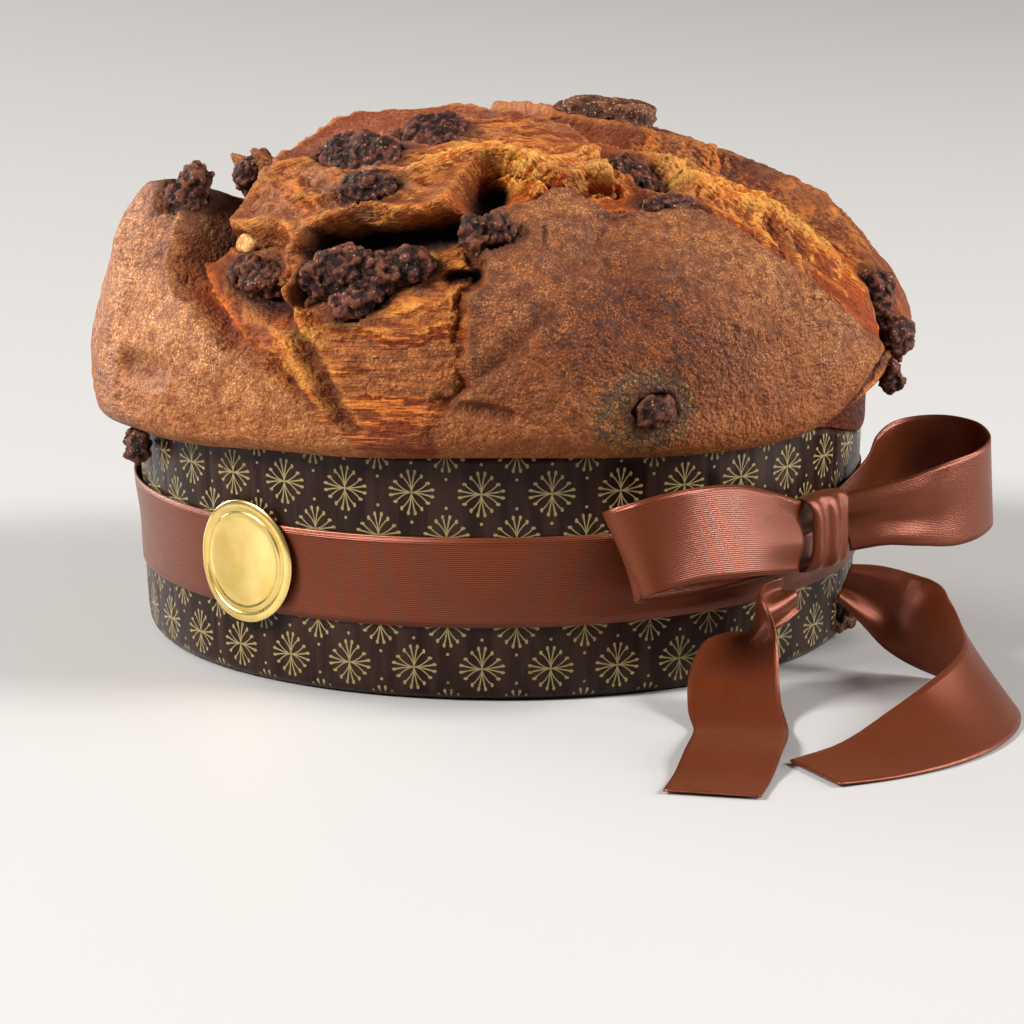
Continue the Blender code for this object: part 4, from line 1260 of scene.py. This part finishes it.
def copy_solid(name, piece_name):
    """A copy of a solid's mesh with its loose triangles merged."""
    piece = bpy.data.objects.new(piece_name, nodes[name].data.copy())
    bpy.context.scene.collection.objects.link(piece)
    start_editing(piece)
    bpy.ops.mesh.remove_doubles(threshold=MERGE_DISTANCE)
    stop_editing()
    piece.data.materials.clear()
    return piece


def shape_lump(name):
    mass, cells, crumb = LUMP_FORMS.get(name, COMMON_LUMP)
    piece = copy_solid(name, name + "_lump")
    apply_modifier(piece, "SUBSURF", levels=1, render_levels=1)
    apply_modifier(piece, "REMESH", mode="VOXEL", voxel_size=LUMP_VOXEL)
    apply_modifier(piece, "SMOOTH", factor=0.5, iterations=6)
    for texture, strength, level in (
        (uneven_mass, mass, 0.50),
        (broken_cells, cells, 0.40),
        (crags, CRAG_SHARE * cells, 0.70),
        (fine_crumb, crumb, 0.45),
    ):
        apply_modifier(piece, "DISPLACE", texture=texture, strength=strength, mid_level=level)
    add_mask(piece, "raised", raised_parts(piece, 8, 0.0006))
    return piece


lumps = {name: shape_lump(name) for name in lump_names}
for name, piece in lumps.items():
    finish_piece(piece, "nut" if name == "nut_piece" else "chocolate", name)
print("lumps:", len(lumps), "faces:", sum(len(p.data.polygons) for p in lumps.values()))

# %% Materials of chocolate and nut
# Colours of the cracks with painted shade, the crests with painted light and the crumbs, and the
# grain value that crumbs start from
LUMP_FINISHES = {
    "baked_chocolate": ((30, 12, 8), (104, 58, 42), (186, 138, 102), 0.635),
    "cocoa_block": ((56, 30, 20), (124, 78, 54), (204, 152, 104), 0.60),
    "pale_nut": ((176, 112, 54), (222, 168, 100), (244, 208, 152), 0.57),
}
FINISH_OF = {"chocolate_block": "cocoa_block", "nut_piece": "pale_nut"}
CRUMB_FADE = 0.10


def build_lump_material(name, shaded_crack, crest, crumb, crumb_from):
    made, tree, shader = new_material(name, Roughness=0.55, Specular_IOR_Level=0.14)
    fine, coarse = two_grains(object_place(tree), 1300.0)
    raised = attribute(tree, "raised")
    # Painted light on what stands out and painted shade in the cracks, mixed with a random coarse tone
    lit = times_plus(raised, 0.30, coarse)
    crumbs = times_plus(raised, 0.06, fine)
    colour = blend(fade(lit, 0.40, 0.86), screen(*shaded_crack), screen(*crest))
    colour = blend(fade(crumbs, crumb_from, crumb_from + CRUMB_FADE), colour, screen(*crumb))
    feed(shader, Base_Color=colour, Normal=bump(times_plus(coarse, 1.5, fine), 0.8, 0.0006))
    return made


finishes = {name: build_lump_material(name, *looks) for name, looks in LUMP_FINISHES.items()}
for name, piece in lumps.items():
    piece.data.materials.append(finishes[FINISH_OF.get(name, "baked_chocolate")])
print("lump finishes:", len(finishes))

# %% [markdown]
# The case is folded from coated baking paper. A disc is the bottom, and its open edge is extruded
# ring by ring round the corner and up the wall. Fine upright creases come from the forming press,
# so each ring's radius is nudged by the same narrow grooves. Solidify then gives the paper a wall.

# %% Form the paper case
CASE_COLUMNS = 720
CASE_ROWS = 26
CORNER_BENDS = (15, 30, 45, 60, 75, 90)
PAPER_THICK = 0.0008
CREASE_COUNT = 64
CREASE_DEPTH = 0.00032
CREASE_HALF = 0.42
WALL_WAVES = (0.00035, 0.16, 11)
WALL_FOOT = 0.010
rng = np.random.default_rng(7)
crease_turns = np.sort(rng.uniform(-180, 180, CREASE_COUNT))
crease_depths = CREASE_DEPTH * rng.uniform(0.25, 1.0, CREASE_COUNT)


def crease_relief(azimuth, height):
    """Grooves and slow waves of the paper wall, in metres outwards."""
    total = uneven(on_ring(azimuth, 1.0, height * 6), WALL_WAVES)
    for turn, depth in zip(crease_turns, crease_depths):
        total -= depth * bell(turn_from(turn, azimuth), CREASE_HALF)
    return total * smooth(height / WALL_FOOT)


def form_case():
    deselect_all()
    foot = CASE_FOOT - CASE_CORNER
    bpy.ops.mesh.primitive_circle_add(vertices=CASE_COLUMNS, radius=foot, fill_type="NGON")
    piece = bpy.context.object
    piece.name = "case_paper"
    for bend in CORNER_BENDS:
        turn_up = math.radians(bend)
        radius = foot + CASE_CORNER * math.sin(turn_up)
        level = CASE_CORNER * (1 - math.cos(turn_up))
        extrude_open_edge(piece, lambda turn, z: on_ring(turn, radius, level))
    for row in range(1, CASE_ROWS + 1):

        def wall(turn, z):
            height = CASE_CORNER + (rim_height(turn) - CASE_CORNER) * row / CASE_ROWS
            return on_ring(turn, case_radius(height) + crease_relief(turn, height), height)

        extrude_open_edge(piece, wall)
    turn_outwards(piece)
    apply_modifier(piece, "SOLIDIFY", thickness=PAPER_THICK, offset=-1.0)
    return piece


case_paper = form_case()
finish_piece(case_paper, "paper", "paper_case")
print("case points:", len(case_paper.data.vertices))

# %% [markdown]
# The print on the paper is an old-fashioned lattice of small florets, each with sixteen petals in
# four sprays, and dots between them. It is drawn by arithmetic: the place on the wall is folded
# into one cell of the lattice, then into one eighth of a floret, where only two petals are left to
# draw. A node group draws one floret, and the material uses it twice for the staggered rows.

# %% Draw one floret as a node group
# Tip of each petal in millimetres along and aside, and how strongly its stem bends
INNER_PETAL = ((5.7, 0.95), 1.5)
OUTER_PETAL = ((4.5, 2.75), 1.7)
STEM_HALF = 0.15
STEM_FLARE = 0.13
CLUB_HALF = (0.62, 0.42)
DOT_AT = 8.2
DOT_RADIUS = 0.42
INK_EDGE = 0.08


def petal_mask(along, side, tip, bend):
    """One petal: a thin bent stem with a club at its tip."""
    share = math_node("DIVIDE", along, tip[0])
    middle = times(math_node("POWER", share, bend), tip[1])
    off = math_node("ABSOLUTE", minus(side, middle))
    width = times_plus(math_node("POWER", share, 3.0), STEM_FLARE, STEM_HALF)
    stem = fade(minus(width, off), -INK_EDGE, INK_EDGE)
    stem = times(stem, fade(minus(tip[0], along), 0.0, 0.2))
    long = math_node("DIVIDE", minus(along, tip[0]), CLUB_HALF[0])
    wide = math_node("DIVIDE", minus(side, tip[1]), CLUB_HALF[1])
    club = fade(minus(1.0, times_plus(long, long, times(wide, wide))), -0.25, 0.25)
    return math_node("MAXIMUM", stem, club)


def build_floret_group():
    group, start, end = new_group(
        "floret", {"Across": "Float", "Up": "Float"}, {"Mask": "Float"}
    )
    across, up = (math_node("ABSOLUTE", start[name]) for name in ("Across", "Up"))
    along = math_node("MAXIMUM", across, up)
    side = math_node("MINIMUM", across, up)
    petals = [petal_mask(along, side, *petal) for petal in (INNER_PETAL, OUTER_PETAL)]
    dot_off = minus(up, DOT_AT)
    dot_far = math_node("SQRT", times_plus(dot_off, dot_off, times(across, across)))
    dot = fade(minus(DOT_RADIUS, dot_far), -INK_EDGE, INK_EDGE)
    mask = math_node("MAXIMUM", math_node("MAXIMUM", *petals), dot)
    group.links.new(mask, end["Mask"])
    return group


floret_group = build_floret_group()
print("floret nodes:", len(floret_group.nodes))

# %% Material of the printed paper
FLORET_TURN = math.radians(10.4)
FLORET_PHASE = math.radians(-2.7)
FLORET_ACROSS = 18.9
FLORET_RISE = 0.02435
FLORET_BASE = 0.0093
UPRIGHT_STREAKS = (1.0, 1.0, 0.10)


def lattice_cell(turn_share, rise_share, half_step):
    """The floret mask for one of the two staggered lattices."""
    inputs = {}
    for name, share, size in (
        ("Across", turn_share, FLORET_ACROSS), ("Up", rise_share, FLORET_RISE * 1000)
    ):
        moved = plus(share, half_step)
        inputs[name] = times(minus(moved, math_node("ROUND", moved)), size)
    made = add_node(turn_share.id_data, "ShaderNodeGroup", inputs, node_tree=floret_group)
    return made.outputs["Mask"]


def build_paper_material():
    made, tree, shader = new_material("printed_paper", Specular_IOR_Level=0.14)
    place = object_place(tree)
    parts = parts_of(place)
    turn = math_node("ARCTAN2", parts["X"], times(parts["Y"], -1.0))
    turn_share = math_node("DIVIDE", minus(turn, FLORET_PHASE), FLORET_TURN)
    rise_share = math_node("DIVIDE", minus(parts["Z"], FLORET_BASE), FLORET_RISE)
    cells = [lattice_cell(turn_share, rise_share, half_step) for half_step in (0.0, 0.5)]
    mask = times(math_node("MAXIMUM", *cells), fade(parts["Z"], 0.0010, 0.0022))
    fine, coarse = two_grains(place, 420.0)
    worn = times(mask, fade(fine, 0.22, 0.42))
    streak = noise_value(scaled(place, UPRIGHT_STREAKS), 210.0, 3.0)
    paper = blend(fade(streak, 0.35, 0.65), screen(30, 15, 10), screen(50, 32, 25))
    paper = coat(paper, fade(coarse, 0.52, 0.7), 0.5, (48, 25, 22))
    colour = blend(worn, paper, screen(144, 128, 86))
    height = times_plus(streak, 1.2, coarse)
    feed(
        shader, Base_Color=colour, Roughness=ramp(streak, 0.26, 0.46),
        Normal=bump(height, 0.25, 0.0005)
    )
    return made


case_paper.data.materials.append(build_paper_material())
print("paper finish on", case_paper.name)

# %% [markdown]
# The ribbon is satin, 25 mm wide. A strip of ribbon is a grid whose rows follow a route: at each
# station the route gives the middle of the strip, the direction across it, and its width, which is
# less where the knot gathers it. A smooth curve goes through the stations. Solidify gives the
# strip its small thickness, with the ribbon's own middle kept in place.

# %% Routes of the bow and the tails
RIBBON_WIDTH = 0.025
RIBBON_THICK = 0.0005
BAND_BASE = 0.0215
# Height, number and start of the soft gathers in a narrowed strip
PUCKER = 0.0030
PUCKER_WAVES = 1.5
PUCKER_START = 0.7
ROUTES = {
    "bow_loop_left": (
        ((0.0826, -0.0786, 0.0405), (0.00, 0.20, 0.98), 0.019),
        ((0.0720, -0.0930, 0.0450), (0.05, 0.38, 0.92), 0.023),
        ((0.0630, -0.1040, 0.0478), (0.05, 0.34, 0.94), 0.025),
        ((0.0510, -0.1160, 0.0492), (0.00, 0.22, 0.97), 0.025),
        ((0.0390, -0.1210, 0.0472), (-0.20, 0.20, 0.96), 0.025),
        ((0.0325, -0.1165, 0.0440), (-0.38, 0.16, 0.91), 0.025),
        ((0.0370, -0.1090, 0.0420), (-0.25, 0.08, 0.96), 0.025),
        ((0.0520, -0.0985, 0.0410), (-0.10, 0.04, 0.99), 0.024),
        ((0.0660, -0.0890, 0.0405), (0.00, 0.00, 1.00), 0.021),
        ((0.0788, -0.0762, 0.0400), (0.00, 0.00, 1.00), 0.018),
    ),
    "bow_loop_right": (
        ((0.0956, -0.0622, 0.0410), (0.00, 0.10, 0.99), 0.016),
        ((0.1063, -0.0600, 0.0427), (0.00, 0.12, 0.99), 0.017),
        ((0.1163, -0.0570, 0.0433), (0.03, 0.12, 0.99), 0.020),
        ((0.1265, -0.0515, 0.0440), (0.05, 0.10, 0.99), 0.024),
        ((0.1350, -0.0435, 0.0453), (0.02, 0.06, 1.00), 0.025),
        ((0.1393, -0.0330, 0.0470), (-0.05, 0.02, 1.00), 0.025),
        ((0.1365, -0.0225, 0.0490), (-0.10, 0.02, 0.99), 0.025),
        ((0.1270, -0.0165, 0.0500), (-0.08, 0.00, 0.99), 0.025),
        ((0.1160, -0.0175, 0.0490), (-0.06, 0.00, 0.99), 0.025),
        ((0.1085, -0.0255, 0.0465), (-0.04, 0.00, 0.99), 0.024),
        ((0.1030, -0.0390, 0.0440), (0.00, 0.00, 1.00), 0.020),
        ((0.0924, -0.0590, 0.0410), (0.00, 0.00, 1.00), 0.015),
    ),
    "ribbon_tail_left": (
        ((0.0800, -0.0800, 0.0250), (-0.20, 0.62, 0.76), 0.010),
        ((0.0720, -0.0900, 0.0222), (0.40, 0.55, 0.70), 0.015),
        ((0.0660, -0.0990, 0.0170), (0.75, 0.40, 0.50), 0.020),
        ((0.0630, -0.1090, 0.0100), (0.95, 0.15, 0.20), 0.024),
        ((0.0625, -0.1200, 0.0038), (1.00, 0.05, 0.05), 0.025),
        ((0.0635, -0.1320, 0.0010), (1.00, 0.00, 0.00), 0.025),
        ((0.0625, -0.1480, 0.0028), (1.00, -0.08, 0.00), 0.025),
        ((0.0600, -0.1640, 0.0034), (0.99, -0.14, 0.00), 0.025),
        ((0.0565, -0.1800, 0.0012), (0.98, -0.20, 0.00), 0.025),
        ((0.0530, -0.1950, 0.0009), (0.97, -0.24, 0.00), 0.025),
    ),
    "ribbon_tail_right": (
        ((0.0955, -0.0645, 0.0245), (0.75, 0.35, 0.55), 0.012),
        ((0.1040, -0.0665, 0.0212), (0.55, 0.35, 0.75), 0.018),
        ((0.1130, -0.0700, 0.0165), (0.10, 0.35, 0.93), 0.023),
        ((0.1220, -0.0800, 0.0128), (-0.25, 0.25, 0.93), 0.025),
        ((0.1290, -0.0950, 0.0112), (-0.48, 0.12, 0.87), 0.025),
        ((0.1315, -0.1120, 0.0104), (-0.60, -0.02, 0.80), 0.025),
        ((0.1290, -0.1290, 0.0096), (-0.62, 0.22, 0.75), 0.025),
        ((0.1210, -0.1450, 0.0080), (-0.58, 0.50, 0.62), 0.025),
        ((0.1090, -0.1580, 0.0052), (-0.52, 0.74, 0.40), 0.025),
        ((0.0950, -0.1680, 0.0022), (-0.46, 0.87, 0.14), 0.025),
        ((0.0800, -0.1755, 0.0009), (-0.42, 0.91, 0.00), 0.025),
    ),
}


def smooth_route(stations, steps):
    """A smooth curve through the stations: middle, direction across and width at each step."""
    values = np.array([(*middle, *across, width) for middle, across, width in stations])
    padded = np.vstack([2 * values[0] - values[1], values, 2 * values[-1] - values[-2]])
    rows = []
    for step in np.linspace(0, len(values) - 1, steps):
        i = int(min(step, len(values) - 2))
        t = step - i
        a, b, c, d = padded[i : i + 4]
        bent = (2 * a - 5 * b + 4 * c - d) * t**2 + (3 * b - a - 3 * c + d) * t**3
        rows.append(0.5 * (2 * b + (c - a) * t + bent))
    rows = np.array(rows)
    return rows[:, :3], unit(rows[:, 3:6]), rows[:, 6]


def strip_places(middle, across, width, shares):
    """Places of a strip's points, with soft gathers where the ribbon is narrower than it was cut."""
    along = unit(np.gradient(middle, axis=0))
    across = unit(across - (across * along).sum(axis=1)[:, None] * along)
    face = np.cross(along, across)
    gathered = PUCKER * (1 - width / RIBBON_WIDTH)
    fold = np.sin(shares * 2 * math.pi * PUCKER_WAVES + PUCKER_START) * gathered[:, None]
    aside = (shares - 0.5) * width[:, None]
    return middle[:, None] + across[:, None] * aside[..., None] + face[:, None] * fold[..., None]


def route_length(middle):
    return float(np.linalg.norm(np.diff(middle, axis=0), axis=1).sum())


print("routes:", {name: len(stations) for name, stations in ROUTES.items()})

# %% Weave the strips
STRIP_ROWS = 150
STRIP_COLUMNS = 16
ribbons = {}
lengths = {}


def weave_strip(node, places, length, closed=False):
    """A grid whose rows and columns are moved to their places, with a UV map in metres."""
    rows, columns = places.shape[:2]
    deselect_all()
    bpy.ops.mesh.primitive_grid_add(
        x_subdivisions=rows - 1, y_subdivisions=columns - 1, size=1.0, calc_uvs=True
    )
    piece = bpy.context.object
    piece.name = node + "_satin"
    grid = points_of(piece)
    row = np.rint((grid[:, 0] + 0.5) * (rows - 1)).astype(int)
    column = np.rint((grid[:, 1] + 0.5) * (columns - 1)).astype(int)
    set_points(piece, places[row, column])
    if closed:
        start_editing(piece)
        bpy.ops.mesh.remove_doubles(threshold=MERGE_DISTANCE / 2)
        stop_editing()
    layer = piece.data.uv_layers.active.data
    layer.foreach_set("uv", (read(layer, "uv", 2) * (length, RIBBON_WIDTH)).ravel())
    apply_modifier(piece, "SOLIDIFY", thickness=RIBBON_THICK, offset=0.0)
    finish_piece(piece, "satin", node)
    ribbons[node] = piece
    return piece


for name, stations in ROUTES.items():
    middle, across, width = smooth_route(stations, STRIP_ROWS)
    places = strip_places(middle, across, width, np.linspace(0, 1, STRIP_COLUMNS))
    places[..., 2] = np.maximum(places[..., 2], RIBBON_THICK)
    lengths[name] = route_length(middle)
    weave_strip(name, places, lengths[name])
print("lengths in mm:", {n: round(v * 1000) for n, v in lengths.items()})

# %% [markdown]
# The band round the case is one more strip, closed on itself. Its top edge stands a little off the
# paper at the left, as ribbon does on a wall that narrows downwards. The knot is a short wrap of
# ribbon: its route goes once round the gathered bow, over the top, down the front and under.

# %% Wrap the band and the knot
BAND_ROWS = 361
BAND_COLUMNS = 10
BAND_GAP = 0.00045
BAND_TILT = 0.0012
BAND_LOOSE = 0.0011
BAND_SLACK = 0.00012
KNOT_ROWS = 97
KNOT_COLUMNS = 21
KNOT_AZIMUTH = 51.6
KNOT_RADIUS = 0.1125
KNOT_HEIGHT = 0.0405
KNOT_HALF_UP = 0.0106
KNOT_HALF_OUT = 0.0046
KNOT_WIDTH = 0.0190
KNOT_SQUARENESS = 0.60
KNOT_PLEAT = 0.0007


def band_places():
    turn = np.linspace(180, -180, BAND_ROWS)
    share = np.linspace(0, 1, BAND_COLUMNS)
    turns, shares = np.meshgrid(turn, share, indexing="ij")
    height = BAND_BASE + RIBBON_WIDTH * shares + BAND_TILT * np.sin(np.radians(turns - 20))
    left_side = smooth((-turns - 45) / 30) * smooth((140 + turns) / 40)
    loose = BAND_LOOSE * left_side * smooth((shares - 0.4) / 0.6)
    slack = BAND_SLACK * (1 + np.sin(np.radians(turns * 7)))
    return on_ring(turns, case_radius(height) + BAND_GAP + loose + slack, height)


def squared(value):
    """A sine or cosine drawn towards its ends, which turns a circle into a rounded box."""
    return np.sign(value) * np.abs(value) ** KNOT_SQUARENESS


def knot_places():
    """The wrap round the bow, gathered so that its front shows soft folds."""
    outward = direction(KNOT_AZIMUTH, 0.0)
    sideways = direction(KNOT_AZIMUTH + 90.0, 0.0)
    upward = np.array([0.0, 0.0, 1.0])
    turns = np.linspace(math.radians(-178), math.radians(178), KNOT_ROWS)
    t, s = np.meshgrid(turns, np.linspace(0, 1, KNOT_COLUMNS), indexing="ij")
    edge = np.abs(2 * s - 1)
    front = smooth(np.cos(t))
    pleat = KNOT_PLEAT * np.sin(2 * math.pi * (2.2 * s + 0.10 * np.sin(t))) * front
    out = KNOT_RADIUS + KNOT_HALF_OUT * squared(np.cos(t)) * (1 - 0.30 * edge**3) + pleat
    up = KNOT_HEIGHT + KNOT_HALF_UP * squared(np.sin(t)) * (1 - 0.06 * edge**2)
    aside = (s - 0.5) * KNOT_WIDTH * (1 - 0.16 * front * (1 - np.sin(t) ** 2))
    return outward * out[..., None] + sideways * aside[..., None] + upward * up[..., None]


lengths["ribbon_band"] = 2 * math.pi * float(case_radius(BAND_BASE + RIBBON_WIDTH / 2))
weave_strip("ribbon_band", band_places(), 2 * math.pi * CASE_RIM, closed=True)
knot_grid = knot_places()
lengths["bow_knot"] = route_length(knot_grid[:, KNOT_COLUMNS // 2])
weave_strip("bow_knot", knot_grid, lengths["bow_knot"])
print("band length in mm:", round(lengths["ribbon_band"] * 1000))

# %% [markdown]
# Satin shines because its threads float over each other in one direction. The material reads the
# strip's own UV map, which has real sizes: fine ribs run along the ribbon and finer cross threads
# tie them down. A soft sheen and a middling roughness spread the light the way cloth does.

# %% Material of the satin
RIB_PITCH = 0.00055


def build_satin_material():
    made, tree, shader = new_material(
        "brown_satin", Roughness=0.29, Sheen_Weight=0.12, Sheen_Roughness=0.40,
        Sheen_Tint=screen(236, 160, 112), Specular_IOR_Level=0.5, Anisotropic=0.5, Metallic=0.5
    )
    parts = parts_of(add_node(tree, "ShaderNodeUVMap").outputs["UV"])
    rib = math_node("SINE", times(parts["Y"], 2 * math.pi / RIB_PITCH))
    slant = times_plus(parts["X"], 2.0, parts["Y"])
    cross = math_node("SINE", times(slant, 3 * math.pi / RIB_PITCH))
    weave = times_plus(cross, 0.35, rib)
    cloud = noise_value(object_place(tree), 60.0, 3.0)
    colour = blend(fade(weave, -1.2, 1.2), screen(84, 34, 14), screen(130, 62, 33))
    colour = coat(colour, fade(cloud, 0.4, 0.7), 0.2, (88, 36, 20))
    tangent = add_node(tree, "ShaderNodeTangent", direction_type="UV_MAP").outputs["Tangent"]
    feed(shader, Base_Color=colour, Normal=bump(weave, 0.18, 0.0002), Tangent=tangent)
    return made


satin = build_satin_material()
for piece in ribbons.values():
    piece.data.materials.append(satin)
print("satin on", len(ribbons), "pieces")

# %% [markdown]
# The seal is a disc of embossed foil. It is modelled flat, as on the maker's bench: a filled circle
# is inset again and again, and some of the insets are raised or sunk to make the rim and the two
# grooves. The flat disc is then wrapped round the band, because foil follows what it is stuck to.

# %% Emboss the seal
SEAL_RADIUS = 0.0172
SEAL_AZIMUTH = -41.3
SEAL_HEIGHT = 0.0342
SEAL_COLUMNS = 160
FOIL_THICK = 0.0004
FOIL_DENTS = (0.00012, 0.007, 21)
# Width of each inset and how far it is raised, from the edge inwards
EMBOSSING = (
    (0.0006, 0.0004),
    (0.0010, 0.0002),
    (0.0008, 0.0000),
    (0.0005, -0.0005),
    (0.0004, 0.0000),
    (0.0005, 0.0004),
    (0.0005, 0.0000),
    (0.0005, -0.0003),
    (0.0014, 0.0000),
    (0.0030, 0.0001),
    (0.0035, 0.0001),
)


def emboss_seal():
    deselect_all()
    bpy.ops.mesh.primitive_circle_add(vertices=SEAL_COLUMNS, radius=SEAL_RADIUS, fill_type="NGON")
    piece = bpy.context.object
    piece.name = "foil_seal"
    start_editing(piece, "FACE")
    for wide, raised in EMBOSSING:
        bpy.ops.mesh.inset(thickness=wide, depth=raised)
    bpy.ops.mesh.poke()
    stop_editing()
    apply_modifier(piece, "SOLIDIFY", thickness=FOIL_THICK, offset=-1.0)
    apply_modifier(piece, "SUBSURF", levels=1, render_levels=1)
    flat = points_of(piece)
    inside = float(case_radius(SEAL_HEIGHT + SEAL_RADIUS)) + BAND_GAP + RIBBON_THICK + 4 * GAP
    radius = inside + flat[:, 2] + uneven(flat, FOIL_DENTS)
    azimuth = SEAL_AZIMUTH + np.degrees(flat[:, 0] / inside)
    set_points(piece, on_ring(azimuth, radius, SEAL_HEIGHT + flat[:, 1]))
    turn_outwards(piece)
    return piece


def build_foil_material():
    made, tree, shader = new_material("gold_foil", Metallic=1.0, Roughness=0.24)
    fine, coarse = two_grains(object_place(tree), 700.0)
    colour = blend(fade(coarse, 0.3, 0.7), screen(236, 200, 110), screen(250, 222, 146))
    feed(shader, Base_Color=colour, Normal=bump(fine, 0.12, 0.0002))
    return made


seal = emboss_seal()
seal.data.materials.append(build_foil_material())
finish_piece(seal, "foil", "seal")
print("seal points:", len(seal.data.vertices))

# %% [markdown]
# The stage is plain: a wide pale floor, a dim even surround and four large soft lights. The key
# light stands at the left front and shapes the crust. One at the right gives the glints on the
# crown, and a low one there lights its side. The last, behind at the left, is mirrored in the paper
# and the ribbon.

# %% Floor and light
FLOOR_DROP = 0.0001
FLOOR_RADIUS = 6.0
AIM = Vector((0.0, 0.0, 0.07))
SURROUND_STRENGTH = 0.20
LIGHTS = (
    ("key", (-2.2, -1.1, 1.9), 0.8, 150.0),
    ("side", (2.3, -0.5, 1.7), 0.9, 88.0),
    ("low", (2.5, 0.1, 0.65), 0.6, 38.0),
    ("rim", (-2.3, 2.1, 1.3), 1.6, 80.0),
)


def build_stage():
    deselect_all()
    bpy.ops.mesh.primitive_circle_add(
        vertices=96, radius=FLOOR_RADIUS, fill_type="NGON", location=(0, 0, -FLOOR_DROP)
    )
    floor = bpy.context.object
    floor.name = "floor"
    made, tree, shader = new_material("pale_floor", Roughness=0.55, Specular_IOR_Level=0.3)
    shade = noise_value(object_place(tree), 1.5, 2.0)
    feed(shader, Base_Color=blend(shade, screen(176, 173, 170), screen(181, 178, 175)))
    floor.data.materials.append(made)


def build_lights():
    for name, place, size, energy in LIGHTS:
        lamp = bpy.data.lights.new(name, "AREA")
        lamp.size = size
        lamp.energy = energy
        holder = bpy.data.objects.new(name, lamp)
        bpy.context.scene.collection.objects.link(holder)
        holder.location = place
        holder.rotation_euler = (AIM - Vector(place)).to_track_quat("-Z", "Y").to_euler()
    world = bpy.data.worlds.new("surround")
    world.use_nodes = True
    background = world.node_tree.nodes["Background"]
    background.inputs["Color"].default_value = screen(228, 225, 221)
    background.inputs["Strength"].default_value = SURROUND_STRENGTH
    bpy.context.scene.world = world
    bpy.context.scene.view_settings.view_transform = "Standard"


build_stage()
build_lights()
print("lights:", len(LIGHTS))
